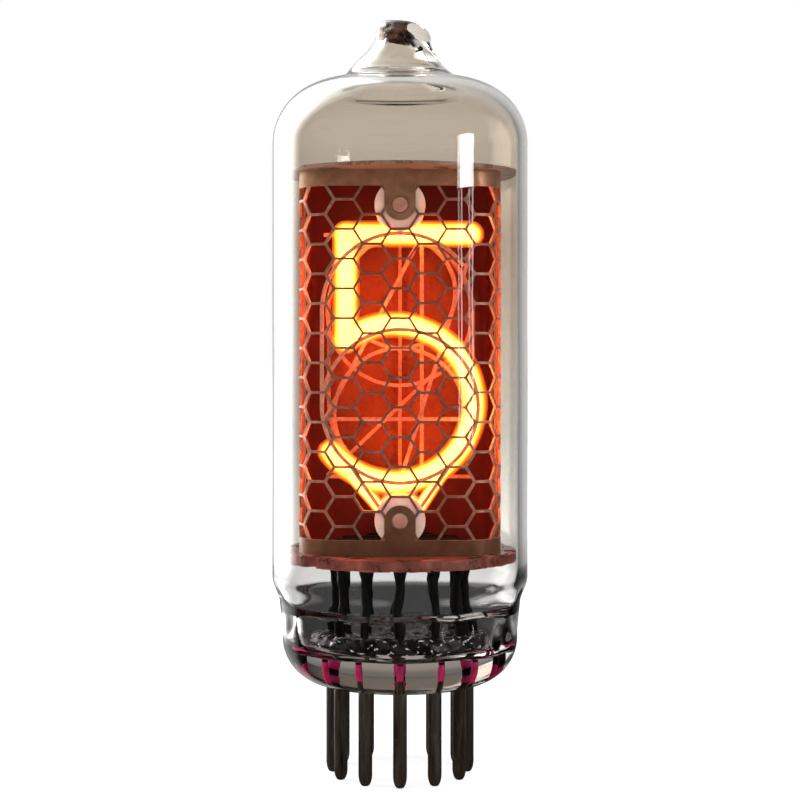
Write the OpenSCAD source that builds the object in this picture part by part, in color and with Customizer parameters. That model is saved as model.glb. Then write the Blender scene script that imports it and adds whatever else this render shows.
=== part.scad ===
// Cold-cathode numeral display tube, in millimetres.
// +Z is up, the pin tips stand on z = 0, the tube's axis is the Z axis and the viewer looks along +Y.

/* [Base pins] */
// Diameter of the circle that the pins stand on
pin_circle_d = 15; // [14:0.1:16.5]
// Diameter of each pin
pin_d = 1.5; // [1.2:0.05:1.6]
// Length of pin below the glass
pin_len = 10.2; // [7:0.1:14]
// Length of the rounded tip
pin_tip_len = 1.3; // [0.6:0.1:2]
// Diameter of the small flat at the very end of the tip
pin_flat_d = 0.5; // [0.3:0.05:0.8]
// Diameter of the pin's root inside the glass
pin_root_d = 1.15; // [1.05:0.05:1.15]
// Length of the pin's root inside the glass
pin_root_len = 1.3; // [0.8:0.1:2]

/* [Lead wires] */
// Diameter of the seal wire and of the lead above it
lead_d = 1; // [0.7:0.05:1.1]
// Length of the red seal wire inside the glass
seal_len = 2.4; // [1.6:0.1:2.6]
// Height of the straight lead between the glass floor and its first bend
jog_rise = 4; // [2:0.1:5]
// Height over which a lead moves from its pin to its hole in the mica
jog_h = 2; // [1.5:0.1:3]
// How much fuller a lead is where it bends
bend_bead = 0.04; // [0.02:0.01:0.08]
// Clearance round a lead in the mica
lead_gap = 0.1; // [0.05:0.01:0.2]
// Distance left between a lead's end and the cathode tail that it feeds
feed_gap = 0.05; // [0.02:0.01:0.2]

/* [Glass stem] */
// Thickness of the pressed glass floor
stem_floor = 4; // [3.8:0.1:6]
// Radius of the round lower edge
stem_edge_r = 5; // [3:0.1:5.5]
// Height of the rim above the floor, up to the seam with the bulb
stem_rim_h = 2; // [1.6:0.1:3]
// Thickness of the rim
stem_rim_wall = 1.6; // [1.2:0.1:2.5]
// Radius of the fillet between floor and rim
stem_fillet_r = 1.2; // [0.5:0.1:1.5]
// Height of the glass boss round each lead
boss_h = 0.9; // [0.5:0.1:1.4]
// Glass round the lead at the foot of a boss
boss_foot = 0.8; // [0.5:0.05:1]
// Glass round the lead at the top of a boss
boss_top = 0.3; // [0.2:0.05:0.4]

/* [Glass bulb] */
// Outside diameter of the bulb
bulb_d = 28.5; // [28:0.1:34]
// Wall of the bulb
bulb_wall = 1; // [0.7:0.05:1.2]
// How far the stem lies inside the bulb's outside, at the seam
neck_in = 1.15; // [0.8:0.05:1.6]
// Height of the plain skirt above the seam
skirt_h = 2.8; // [1.5:0.1:4]
// How far the skirt widens over its height
skirt_flare = 0.3; // [0.1:0.05:0.5]
// Height of the soft step from the skirt to the full diameter
step_h = 3; // [2:0.1:4]
// Radius of the rounded inner edge of the bulb's thick foot
foot_round = 0.9; // [0.6:0.1:1.2]
// Height from the step to the underside of the lower mica
mica_rise = 2; // [1:0.1:5]
// Height from the upper mica to the start of the shoulder
shoulder_gap = 3.2; // [1.5:0.1:6]
// Radius of the shoulder
shoulder_r = 7; // [5:0.1:7.5]
// Height of the flare that leads up to the tip
cone_h = 4.7; // [4:0.1:6]
// How far out the flare's bend lies, from the tip's side to the shoulder
cone_pull = 0.27; // [0.15:0.01:0.4]
// How far up the flare's bend lies
cone_lift = 0.32; // [0.2:0.01:0.45]
// Diameter of the sealed exhaust tip
tip_d = 6.2; // [5.4:0.1:7]
// Height of the tip above its flare
tip_h = 2.2; // [1.8:0.1:3]
// Radius of the tip's rounded end
tip_round = 1.5; // [1:0.1:1.8]
// Diameter of the closed bore inside the tip
tip_bore_d = 2.4; // [1.6:0.1:3]
// Glass above the closed end of that bore
tip_cap = 1.6; // [1:0.1:2]

/* [Mica discs] */
// Clearance between a mica disc and the glass
mica_gap = 0.25; // [0.1:0.05:0.5]
// Thickness of the upper disc
top_mica_t = 0.4; // [0.3:0.05:0.8]
// Thickness of the lower disc
bottom_mica_t = 1; // [0.6:0.05:1.4]
// Radius of the notches round the rim of the lower disc
notch_r = 1.3; // [0.8:0.1:1.6]
// How deep each notch bites into the rim
notch_depth = 0.5; // [0.3:0.05:0.7]

/* [Anode cage] */
// Outside width of the cage
cage_w = 21.8; // [21:0.1:22.4]
// Outside depth of the cage, front sheet to rear sheet
cage_depth = 16; // [15.5:0.1:17]
// Outside radius of the vertical bends
cage_bend_r = 4.45; // [3.5:0.05:5]
// Thickness of the sheet
sheet_t = 0.25; // [0.2:0.01:0.3]
// Honeycomb pitch across
cell_pitch_x = 2.95; // [2.8:0.01:3.1]
// Honeycomb pitch up the tube
cell_pitch_z = 3.19; // [3:0.01:3.4]
// Honeycomb rows
cell_rows = 12; // [11:1:13]
// Width of the web between two cells
cell_web = 0.27; // [0.2:0.01:0.4]
// Height of the plain band above and below the honeycomb
band_h = 1.61; // [1.55:0.01:2.2]
// Length of the plain side strip behind each bend
side_strip = 3.5; // [2.5:0.1:3.6]
// Overlap of the rear shield with the side strips
shield_lap = 1.5; // [1:0.1:2]
// Width of the tongue that holds each rod
tongue_w = 3.3; // [2.8:0.1:3.6]
// Width of a lug through the mica
lug_w = 1.6; // [1:0.1:2]
// Length of a lug past the mica
lug_out = 0.5; // [0.3:0.1:1]
// Clearance round a lug in its slot
lug_gap = 0.1; // [0.05:0.01:0.2]

/* [Rods and spacers] */
// Diameter of the rods
rod_d = 1.66; // [1.4:0.02:1.8]
// Distance of each rod from the near end of the cage
rod_inset = 3.8; // [3.4:0.1:4.2]
// Clearance round a rod in the sheets
rod_gap = 0.09; // [0.05:0.01:0.15]
// Height of the rounded rod end in front of the sheet
rod_dome = 0.2; // [0.1:0.05:0.4]
// Diameter of the rivet head behind the rear shield
rivet_d = 3; // [2.6:0.1:3.6]
// Thickness of the rivet head
rivet_t = 0.5; // [0.3:0.05:0.8]
// Outside diameter of the ceramic spacers
spacer_d = 5.4; // [5:0.1:5.6]
// Diameter of the collar that passes through a cathode eye
collar_d = 2.6; // [2.4:0.05:2.7]
// Clearance of the spacers on the rod and of the cathode eyes on the collars
collar_gap = 0.05; // [0.03:0.01:0.1]

/* [Cathodes] */
// Width of the numeral strokes
stroke_w = 0.4; // [0.3:0.05:0.8]
// Thickness of the etched sheet
cathode_t = 0.3; // [0.2:0.01:0.35]
// Height of the numerals between stroke centre lines
numeral_h = 27; // [26:0.1:28]
// Half the width of the round numerals, on the stroke centre line
round_r = 8.3; // [7.6:0.1:8.5]
// Radius of the bowl of the five
bowl_r = 8.6; // [8:0.1:8.8]
// How far the bowl of the five lies to the left of the tube's axis
bowl_shift = 0.65; // [0:0.05:0.8]
// Distance of the right end of the five's top bar from the tube's axis
five_reach = 7.6; // [7:0.1:8.2]
// Radius of the small upper loop of the eight and the three
loop_r = 6.2; // [5.6:0.1:6.6]
// Width of the metal round an eye
eye_w = 0.75; // [0.5:0.05:0.9]
// Distance of a tail's middle from the tube's axis
tail_x = 0.8; // [0.7:0.05:1]
// Width of a tail
tail_w = 0.8; // [0.6:0.05:0.9]
// Distance of a tail's end above the lower mica
tail_clear = 0.4; // [0.2:0.05:0.6]

/* [Hidden] */
$fn = 64;
pin_count = 12;
pin_step = 360 / pin_count;
// Numerals in the order in which they stand, front to back
stack_order = [6, 5, 7, 4, 8, 3, 9, 2, 0, 1];
cathode_count = len(stack_order);
// Length by which a cut passes the face it opens, so that no skin is left
cut_over = 0.5;
// Angle at which the shoulder gives way to the flare, and the bore's round end to its top
shoulder_angle = 84;
bore_angle = 78;
// How far the numerals sit above the middle of the cage
numeral_lift = 0.5;
// Width of a stroke joint as a share of the stroke's, so that their edges never run together
joint_ratio = 0.98;
// Angles at which the struts leave a round numeral for the lower eye, and the right one of the five
strut_angles = [230, 310];
five_strut_angle = -38;
// Angles at which open strokes end, for the two, the three, the five, the six and the nine
two_angles = [-25, 165];
three_angle = 150;
five_angles = [-142, 127];
six_angle = 35;
nine_angle = -145;
// Distance of the four's upright from the tube's axis
four_x = 2.4;

// Radii and plan sizes
pin_circle_r = pin_circle_d / 2;
lead_r = lead_d / 2;
bulb_r = bulb_d / 2;
stem_r = bulb_r - neck_in;
mica_r = bulb_r - bulb_wall - mica_gap;
front_face = cage_depth / 2 - sheet_t;
lead_circle_r = front_face - lead_r;
flat_half = cage_w / 2 - cage_bend_r;
bend_centre_y = cage_depth / 2 - cage_bend_r;
sheet_mid_r = cage_bend_r - sheet_t / 2;
bend_len = sheet_mid_r * PI / 2;
side_columns = floor((flat_half + bend_len) / cell_pitch_x);
strip_end_y = -bend_centre_y + side_strip;
lug_y = -bend_centre_y + side_strip / 2;

// Levels, from the pin tips up
seal_z = pin_len + pin_root_len;
lead_z = seal_z + seal_len;
floor_z = pin_len + stem_floor;
seam_z = floor_z + stem_rim_h;
skirt_z = seam_z + skirt_h;
body_z = skirt_z + step_h;
bottom_mica_z = body_z + mica_rise;
cage_z = bottom_mica_z + bottom_mica_t;
cage_h = cell_rows * cell_pitch_z + 2 * band_h;
top_mica_z = cage_z + cage_h;
shoulder_z = top_mica_z + top_mica_t + shoulder_gap;
dome_z = shoulder_z + shoulder_r;
cone_z = dome_z + cone_h;
tip_z = cone_z + tip_h;
window_z = cage_z + band_h;
mid_z = cage_z + cage_h / 2;
feed_z = cage_z + lead_gap + lead_r + bend_bead / 2;
rod_z = [cage_z + rod_inset, top_mica_z - rod_inset];

// Stack along the rods
spacer_count = cathode_count + 1;
spacer_t = (2 * front_face - cathode_count * cathode_t) / spacer_count;
stack_pitch = spacer_t + cathode_t;
eye_r = collar_d / 2 + collar_gap;
eye_ring_r = eye_r + eye_w / 2;
tail_edge = tail_x + tail_w / 2;

// Numeral outline levels, measured from the middle of the cage
top_v = numeral_h / 2 + numeral_lift;
low_v = top_v - numeral_h;
eye_v = cage_h / 2 - rod_inset;
strut_v = -eye_v + eye_ring_r / 3;
tail_v = cage_z + tail_clear - mid_z;

// Honeycomb cell, with the web taken off all round, and the length of its cutter
cell_a = cell_pitch_x / 1.5;
cell_lean = norm([cell_pitch_z, cell_a]) / cell_pitch_z;
cell_half_h = (cell_pitch_z - cell_web) / 2;
cell_tip_x = cell_a - cell_web / 2 * cell_lean;
cutter_t = 4 * sheet_t + 2 * cut_over;

function numbered(word, i) = str(word, "_", i < 10 ? "0" : "", i);
function polar(r, a) = r * [cos(a), sin(a)];
function arc(c, r, a0, a1, n = 12) = [for (i = [0:n]) c + polar(r, a0 + (a1 - a0) * i / n)];

// Place of pin i on a circle, counted from the front towards +X
function pin_angle(i) = (i - 1) * pin_step - 90;
function pin_xy(i, r = pin_circle_r) = polar(r, pin_angle(i));

// Place in the stack that pin i of the first half feeds, or undef for the anode pin at the front
function fed_place(i) = i == 1 ? undef : 2 * i - 3;
function place_y(p) = -front_face + spacer_t + cathode_t / 2 + p * stack_pitch;
function place_side(p) = p % 2 == 0 ? -1 : 1;
function place_of(numeral) = search(numeral, stack_order)[0];

// Half the width of a cell at height v above its middle
function cell_half_width(v) = cell_tip_x - abs(v) * cell_a / cell_pitch_z;

// A soft S from p0 to p1 that starts and ends upright
function s_curve(p0, p1, n = 6) =
    let (d = p1 - p0, phi = 2 * atan(abs(d[0]) / d[1]), r = d[1] / 2 / sin(phi), s = sign(d[0]))
    concat(
        [for (i = [0:n]) p0 + [s * r * (1 - cos(phi * i / n)), r * sin(phi * i / n)]],
        [for (i = [n - 1:-1:0]) p1 - [s * r * (1 - cos(phi * i / n)), r * sin(phi * i / n)]]
    );

// A concave flare from the wide point p0 up to the narrow point p1, without its end points
function flare(p0, p1, n = 10) =
    let (knee = [p1[0] + cone_pull * (p0[0] - p1[0]), p0[1] + cone_lift * (p1[1] - p0[1])])
    [for (i = [1:n - 1])
        let (t = i / n)
        (1 - t) * (1 - t) * p0 + 2 * t * (1 - t) * knee + t * t * p1];
function reversed(list) = [for (i = [len(list) - 1:-1:0]) list[i]];

// Blown bulb: thick foot, skirt, step, straight wall, shoulder, flare and the sealed exhaust tip.
module glass_bulb() {
    inner_r = bulb_r - bulb_wall;
    foot_r = stem_r - stem_rim_wall;
    tip_r = tip_d / 2;
    bore_r = tip_bore_d / 2;
    bore_end_z = tip_z - tip_cap;
    outside = concat(
        [[stem_r, seam_z]],
        s_curve([stem_r + skirt_flare, skirt_z], [bulb_r, body_z]),
        arc([bulb_r - shoulder_r, shoulder_z], shoulder_r, 0, shoulder_angle),
        flare([bulb_r - shoulder_r, dome_z], [tip_r, cone_z]),
        arc([tip_r - tip_round, tip_z - tip_round], tip_round, 0, 90, 8),
        [[0, tip_z]]
    );
    inside = concat(
        [[0, bore_end_z]],
        arc([0, bore_end_z - bore_r], bore_r, bore_angle, 0, 6),
        reversed(flare([bulb_r - shoulder_r, dome_z - bulb_wall], [bore_r, cone_z])),
        arc([bulb_r - shoulder_r, shoulder_z], shoulder_r - bulb_wall, shoulder_angle, 0),
        [[inner_r, body_z]],
        arc([foot_r + foot_round, skirt_z - foot_round], foot_round, 90, 180, 6),
        [[foot_r, seam_z]]
    );
    color("lightcyan", 0.35)
        rotate_extrude()
            polygon(concat(outside, inside));
}

// Pressed stem: dished floor with a round lower edge, a rim up to the seam and a boss round each lead.
module glass_stem() {
    rim_r = stem_r - stem_rim_wall;
    outline = concat(
        [[0, pin_len]],
        arc([stem_r - stem_edge_r, pin_len + stem_edge_r], stem_edge_r, -90, 0),
        [[stem_r, seam_z], [rim_r, seam_z]],
        arc([rim_r - stem_fillet_r, floor_z + stem_fillet_r], stem_fillet_r, 0, -90, 6),
        [[0, floor_z]]
    );
    color("lightgray", 0.5)
        difference() {
            union() {
                rotate_extrude()
                    polygon(outline);
                for (i = [1:pin_count])
                    translate(concat(pin_xy(i), floor_z))
                        cylinder(r1 = lead_r + boss_foot, r2 = lead_r + boss_top, h = boss_h);
            }
            for (i = [1:pin_count])
                translate(pin_xy(i)) {
                    translate([0, 0, pin_len - cut_over])
                        cylinder(d = pin_root_d, h = pin_root_len + cut_over);
                    translate([0, 0, seal_z])
                        cylinder(d = lead_d, h = floor_z - seal_z + boss_h + cut_over);
                }
        }
}

// Turned base pin with a rounded tip and a thinner root that the glass holds.
module pin(i) {
    r = pin_d / 2;
    flat_r = pin_flat_d / 2;
    steps = 8;
    tip = [for (k = [0:steps])
        let (t = 90 * k / steps)
        [flat_r + (r - flat_r) * sin(t), pin_tip_len * (1 - cos(t))]];
    root_r = pin_root_d / 2;
    root = [[r, pin_len], [root_r, pin_len], [root_r, seal_z], [0, seal_z]];
    color("dimgray")
        translate(pin_xy(i))
            rotate_extrude()
                polygon(concat([[0, 0]], tip, root));
}

// Copper-clad seal wire, red with oxide, all inside the stem glass.
module seal(i) {
    color("mediumvioletred")
        translate(concat(pin_xy(i), seal_z))
            cylinder(d = lead_d, h = seal_len);
}

// Straight stretch of wire from a to b.
module wire_stretch(a, b) {
    d = b - a;
    translate(a)
        rotate([0, acos(d[2] / norm(d)), atan2(d[1], d[0])])
            cylinder(d = lead_d, h = norm(d));
}

// Wire through a list of points, a little fuller where it bends.
module wire(points) {
    last = len(points) - 1;
    for (k = [1:last])
        wire_stretch(points[k - 1], points[k]);
    for (k = [1:last - 1])
        translate(points[k])
            sphere(d = lead_d + bend_bead);
}

// The second half of the leads is the first half turned about the tube's axis.
module lead(i) {
    half = pin_count / 2;
    rotate(i > half ? 180 : 0)
        lead_run(i > half ? i - half : i);
}

// Lead from its seal up through the lower mica, with an elbow to the cathode tail that it feeds.
// An anode lead stays upright and lies against the band of the cage.
module lead_run(i) {
    place = fed_place(i);
    foot = pin_xy(i);
    hole = pin_xy(i, lead_circle_r);
    riser = [
        concat(foot, lead_z),
        concat(foot, floor_z + jog_rise),
        concat(hole, floor_z + jog_rise + jog_h)
    ];
    color("darkslategray")
        if (place == undef)
            wire(concat(riser, [concat(hole, rod_z[0] - spacer_d / 2 - lead_gap)]));
        else {
            side = place_side(place);
            edge = [side * (tail_edge + feed_gap), place_y(place)];
            lean = abs(atan((edge[1] - hole[1]) / (edge[0] - hole[0])));
            target = edge + [side * lead_r * sin(lean), 0];
            wire(concat(riser, [concat(hole, feed_z), concat(target, feed_z)]));
        }
}

// Slots for the cage's lugs, cut through a mica disc.
module lug_slots(t) {
    for (side = [-1, 1])
        translate([side * (cage_w - sheet_t) / 2, lug_y, t / 2])
            cube([sheet_t + 2 * lug_gap, lug_w + 2 * lug_gap, t + 2 * cut_over], center = true);
}

// Lower mica: notched rim, a hole for every lead and two lug slots.
module bottom_mica() {
    notch_circle_r = mica_r + notch_r - notch_depth;
    color("lightcoral")
        translate([0, 0, bottom_mica_z])
            difference() {
                cylinder(r = mica_r, h = bottom_mica_t, $fn = 96);
                for (i = [1:pin_count]) {
                    translate(concat(pin_xy(i, lead_circle_r), -cut_over))
                        cylinder(r = lead_r + lead_gap, h = bottom_mica_t + 2 * cut_over);
                    translate(concat(polar(notch_circle_r, pin_angle(i) + pin_step / 2), -cut_over))
                        cylinder(r = notch_r, h = bottom_mica_t + 2 * cut_over);
                }
                lug_slots(bottom_mica_t);
            }
}

// Upper mica: a plain disc that keeps the cage central in the bulb.
module top_mica() {
    color("lightcoral")
        translate([0, 0, top_mica_z])
            difference() {
                cylinder(r = mica_r, h = top_mica_t, $fn = 96);
                lug_slots(top_mica_t);
            }
}

// A sheet bent to a U that opens towards +Y: a flat face, two quarter bends and two side strips.
module bent_sheet(half_w, bend_r, strip) {
    flat = half_w - bend_r;
    translate([-flat, -cage_depth / 2, cage_z])
        cube([2 * flat, sheet_t, cage_h]);
    for (side = [0, 1])
        mirror([side, 0, 0]) {
            translate([flat, bend_r - cage_depth / 2, cage_z])
                rotate_extrude(angle = 90, start = 270)
                    translate([bend_r - sheet_t, 0])
                        square([sheet_t, cage_h]);
            translate([half_w - sheet_t, bend_r - cage_depth / 2, cage_z])
                cube([sheet_t, strip, cage_h]);
        }
}

// Honeycomb cell centred on the origin, drawn in x and z and cut along Y. On a bend the widths follow the arc.
module cell_cutter(low, high, on_bend) {
    heights = [for (v = [low, 0, high]) if (v == low || v == high || (low < 0 && high > 0)) v];
    widths = [for (v = heights) cell_half_width(v)];
    drawn = [for (w = widths) on_bend ? sheet_mid_r * sin(w / sheet_mid_r * 180 / PI) : w];
    last = len(heights) - 1;
    rotate([90, 0, 0])
        linear_extrude(height = cutter_t, center = true)
            polygon(concat(
                [for (k = [0:last]) [drawn[k], heights[k]]],
                [for (k = [last:-1:0]) [-drawn[k], heights[k]]]
            ));
}

// All cells of column c at height z: straight through the flat face, square to the sheet on a bend.
module cell_at(c, z, low, high) {
    along = abs(c) * cell_pitch_x - flat_half;
    turn = along / sheet_mid_r * 180 / PI;
    mirror([c < 0 ? 1 : 0, 0, 0])
        if (along <= 0)
            translate([abs(c) * cell_pitch_x, sheet_t / 2 - cage_depth / 2, z])
                cell_cutter(low, high, false);
        else
            translate([flat_half, -bend_centre_y, z])
                rotate([0, 0, turn])
                    translate([0, -sheet_mid_r, 0])
                        cell_cutter(low, high, true);
}

module honeycomb() {
    for (c = [-side_columns:side_columns])
        if (c % 2 == 0) {
            for (row = [1:cell_rows - 1])
                cell_at(c, window_z + row * cell_pitch_z, -cell_half_h, cell_half_h);
            cell_at(c, window_z, cell_web / 2, cell_half_h);
            cell_at(c, window_z + cell_rows * cell_pitch_z, -cell_half_h, -cell_web / 2);
        } else
            for (row = [0:cell_rows - 1])
                cell_at(c, window_z + (row + 0.5) * cell_pitch_z, -cell_half_h, cell_half_h);
}

// Tongue from a band round its rod, longer than the cutters that it spares.
module tongue(z, band_z) {
    t = cutter_t + 2 * sheet_t;
    translate([0, sheet_t / 2 - cage_depth / 2, 0]) {
        translate([0, 0, z])
            rotate([90, 0, 0])
                cylinder(d = tongue_w, h = t, center = true);
        translate([0, 0, (z + band_z) / 2])
            cube([tongue_w, t, abs(band_z - z)], center = true);
    }
}

// Front anode: one etched sheet bent round both vertical corners, with tongues at the rods and lugs.
module anode_grid() {
    color("peru")
        difference() {
            union() {
                bent_sheet(cage_w / 2, cage_bend_r, side_strip);
                for (side = [-1, 1])
                    translate([side * (cage_w - sheet_t) / 2, lug_y, 0]) {
                        translate([-sheet_t / 2, -lug_w / 2, bottom_mica_z - lug_out])
                            cube([sheet_t, lug_w, bottom_mica_t + lug_out + band_h / 2]);
                        translate([-sheet_t / 2, -lug_w / 2, top_mica_z - band_h / 2])
                            cube([sheet_t, lug_w, band_h / 2 + top_mica_t + lug_out]);
                    }
            }
            difference() {
                honeycomb();
                tongue(rod_z[0], cage_z);
                tongue(rod_z[1], top_mica_z);
            }
            for (z = rod_z)
                rod_hole(-cage_depth / 2, z);
        }
}

// Hole for a rod through the sheet whose outer face is at y.
module rod_hole(y, z) {
    translate([0, y, z])
        rotate([90, 0, 0])
            cylinder(r = rod_d / 2 + rod_gap, h = 2 * (sheet_t + cut_over), center = true);
}

// Rear shield: plain sheet that closes the cage and laps inside the side strips of the front anode.
module rear_shield() {
    strip = bend_centre_y - strip_end_y + shield_lap;
    color("sienna")
        difference() {
            mirror([0, 1, 0])
                bent_sheet(cage_w / 2 - sheet_t, cage_bend_r, strip);
            for (z = rod_z)
                rod_hole(cage_depth / 2, z);
        }
}

// Rod with a rounded front end and a rivet head behind the rear shield.
module rod(z) {
    r = rod_d / 2;
    steps = 6;
    dome = [for (k = [0:steps])
        let (t = 90 * k / steps)
        [r * cos(t), cage_depth / 2 + rod_dome * sin(t)]];
    color("tan")
        translate([0, 0, z])
            rotate([90, 0, 0])
                rotate_extrude()
                    polygon(concat(
                        [[0, -cage_depth / 2 - rivet_t], [rivet_d / 2, -cage_depth / 2 - rivet_t]],
                        [[rivet_d / 2, -cage_depth / 2], [r, -cage_depth / 2]],
                        dome
                    ));
}

// Ceramic spacers along one rod. Each carries a collar that passes through the eye of the next cathode.
module spacers(z) {
    bore_r = rod_d / 2 + collar_gap;
    color("ivory")
        for (k = [0:spacer_count - 1])
            translate([0, -front_face + k * stack_pitch, z])
                rotate([-90, 0, 0])
                    rotate_extrude() {
                        flange_r = spacer_d / 2;
                        collar_r = collar_d / 2;
                        collar = k < cathode_count ? cathode_t - collar_gap : 0;
                        polygon(concat(
                            [[bore_r, 0], [flange_r, 0], [flange_r, spacer_t]],
                            collar > 0 ? [[collar_r, spacer_t], [collar_r, spacer_t + collar]] : [],
                            [[bore_r, spacer_t + collar]]
                        ));
                    }
}

// Straight stroke from a to b.
module bar(a, b) {
    translate(a)
        rotate(atan2(b[1] - a[1], b[0] - a[0]))
            translate([0, -stroke_w / 2])
                square([norm(b - a), stroke_w]);
}

// Filled joint between two strokes.
module joint(p) {
    translate(p)
        circle(d = stroke_w * joint_ratio);
}

// Round stroke about c from angle a0 to a1, or a whole ring.
module bow(c, r, a0 = 0, a1 = 360) {
    translate(c)
        intersection() {
            difference() {
                circle(r + stroke_w / 2);
                circle(r - stroke_w / 2);
            }
            if (a1 - a0 < 360)
                polygon(concat([[0, 0]], arc([0, 0], 2 * r, a0, a1, 6)));
        }
}

// Two struts from a bowl down to the sides of the lower eye.
module bowl_struts(c, r, angles = strut_angles) {
    bar(c + polar(r, angles[0]), [-eye_ring_r, strut_v]);
    bar(c + polar(r, angles[1]), [eye_ring_r, strut_v]);
}

// Upright link from the numeral to an eye, on the tube's axis.
module link(v, eye) {
    reach = eye - sign(eye) * eye_ring_r;
    translate([-stroke_w / 2, min(v, reach)])
        square([stroke_w, abs(reach - v)]);
}

module numeral(n) {
    high_c = [0, top_v - round_r];
    low_c = [0, low_v + round_r];
    bowl_c = [-bowl_shift, low_v + bowl_r];
    loop_c = [0, top_v - loop_r];
    loop_low_r = (numeral_h - 2 * loop_r) / 2;
    loop_low_c = [0, low_v + loop_low_r];
    if (n == 0) {
        bow(high_c, round_r, 0, 180);
        bow(low_c, round_r, 180, 360);
        for (x = [-round_r, round_r])
            bar([x, low_c[1]], [x, high_c[1]]);
        bowl_struts(low_c, round_r);
    }
    if (n == 1) {
        bar([0, low_v], [0, top_v]);
        link(low_v, -eye_v);
    }
    if (n == 2) {
        foot = [-round_r, low_v + stroke_w / 2];
        turn = high_c + polar(round_r, two_angles[0]);
        bow(high_c, round_r, two_angles[0], two_angles[1]);
        bar(turn, foot);
        joint(foot);
        joint(turn);
        bar([-round_r, low_v], [round_r, low_v]);
        link(low_v, -eye_v);
    }
    if (n == 3) {
        bow(loop_c, loop_r, -90, three_angle);
        bow(loop_low_c, loop_low_r, -three_angle, 90);
        bowl_struts(loop_low_c, loop_low_r);
    }
    if (n == 4) {
        apex = [four_x, top_v];
        cross_l = [-round_r, low_v + numeral_h / 4];
        bar(apex, cross_l);
        bar(cross_l, [round_r, cross_l[1]]);
        bar([apex[0], low_v], apex);
        joint(apex);
        joint(cross_l);
        bar([apex[0], low_v], [eye_ring_r / 2, -eye_v + eye_ring_r]);
        joint([apex[0], low_v]);
        bar(apex, [0, top_v]);
    }
    if (n == 5) {
        bowl_start = bowl_c + polar(bowl_r, five_angles[1]);
        corner = [bowl_start[0], top_v];
        bar(corner, [five_reach, top_v]);
        bar(corner, bowl_start);
        joint(corner);
        joint(bowl_start);
        bow(bowl_c, bowl_r, five_angles[0], five_angles[1]);
        bowl_struts(bowl_c, bowl_r, [five_angles[0], five_strut_angle]);
    }
    if (n == 6) {
        bow(high_c, round_r, six_angle, 180);
        bar([-round_r, low_c[1]], [-round_r, high_c[1]]);
        bow(low_c, round_r);
        bowl_struts(low_c, round_r);
    }
    if (n == 7) {
        corner = [round_r, top_v];
        bar([-round_r, top_v], corner);
        bar(corner, [0, low_v]);
        joint(corner);
        link(low_v, -eye_v);
        joint([0, low_v]);
    }
    if (n == 8) {
        bow(loop_c, loop_r);
        bow(loop_low_c, loop_low_r);
        bowl_struts(loop_low_c, loop_low_r);
    }
    if (n == 9) {
        bow(high_c, round_r);
        bar([round_r, low_c[1]], [round_r, high_c[1]]);
        bow(low_c, round_r, nine_angle, 0);
        bowl_struts(low_c, round_r);
    }
}

// One etched cathode: the numeral, an eye for each rod and the tail that its lead feeds.
module cathode(n) {
    place = place_of(n);
    color("chocolate")
        translate([0, place_y(place) + cathode_t / 2, mid_z])
            rotate([90, 0, 0])
                linear_extrude(height = cathode_t)
                    difference() {
                        union() {
                            numeral(n);
                            link(top_v, eye_v);
                            for (v = [-eye_v, eye_v])
                                translate([0, v])
                                    circle(eye_r + eye_w);
                            translate([place_side(place) * tail_x - tail_w / 2, tail_v])
                                square([tail_w, -eye_v - eye_r - tail_v]);
                        }
                        for (v = [-eye_v, eye_v])
                            translate([0, v])
                                circle(eye_r);
                    }
}

glass_bulb();
glass_stem();
for (i = [1:pin_count]) {
    pin(i);
    seal(i);
    lead(i);
}
bottom_mica();
top_mica();
anode_grid();
rear_shield();
rod(rod_z[0]);  // lower_rod
rod(rod_z[1]);  // upper_rod
spacers(rod_z[0]);  // lower_spacers
spacers(rod_z[1]);  // upper_spacers
for (n = [0:cathode_count - 1])
    cathode(n);
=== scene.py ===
"""Looks of a cold-cathode numeral display tube: glass, pins, mica, honeycomb anode and the lit numeral."""

import logging
import math
from abc import ABC, abstractmethod
from collections.abc import Iterable, Sequence
from dataclasses import dataclass, field
from enum import Enum
from typing import Any

import bmesh
import bpy
from mathutils import Matrix, Vector, noise

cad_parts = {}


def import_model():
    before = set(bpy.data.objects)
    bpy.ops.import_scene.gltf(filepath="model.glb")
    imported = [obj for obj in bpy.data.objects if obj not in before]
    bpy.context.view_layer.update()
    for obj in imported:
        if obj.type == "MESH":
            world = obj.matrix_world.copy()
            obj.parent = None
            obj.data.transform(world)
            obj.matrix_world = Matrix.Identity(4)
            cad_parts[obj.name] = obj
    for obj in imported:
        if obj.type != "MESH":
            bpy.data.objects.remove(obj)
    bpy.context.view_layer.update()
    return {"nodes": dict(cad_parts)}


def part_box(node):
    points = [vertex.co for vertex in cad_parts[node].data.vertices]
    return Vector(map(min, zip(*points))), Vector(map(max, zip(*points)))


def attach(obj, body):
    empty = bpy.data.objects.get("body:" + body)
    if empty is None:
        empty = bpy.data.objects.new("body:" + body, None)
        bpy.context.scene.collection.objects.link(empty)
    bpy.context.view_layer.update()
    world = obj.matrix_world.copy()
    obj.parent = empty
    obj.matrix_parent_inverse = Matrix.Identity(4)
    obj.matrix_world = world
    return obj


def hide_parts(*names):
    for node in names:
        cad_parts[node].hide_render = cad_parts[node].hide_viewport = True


log = logging.getLogger("display_tube")

MM = 0.001
BODY = "root"
PIN_COUNT = 12
NOISE_SEED = 7
WELD_MM = 1e-5
GRAIN_ENDS = (0.32, 0.68)
NOISE_ENDS = (0.3, 0.7)
NOISE_ROUGHNESS = 0.6

Triple = tuple[float, float, float]
Colour = Triple
Point = tuple[float, float]
Span = tuple[float, float]
Mesh = bmesh.types.BMesh
Node = bpy.types.Node
Piece = bpy.types.Object
Socket = bpy.types.NodeSocket


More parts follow.
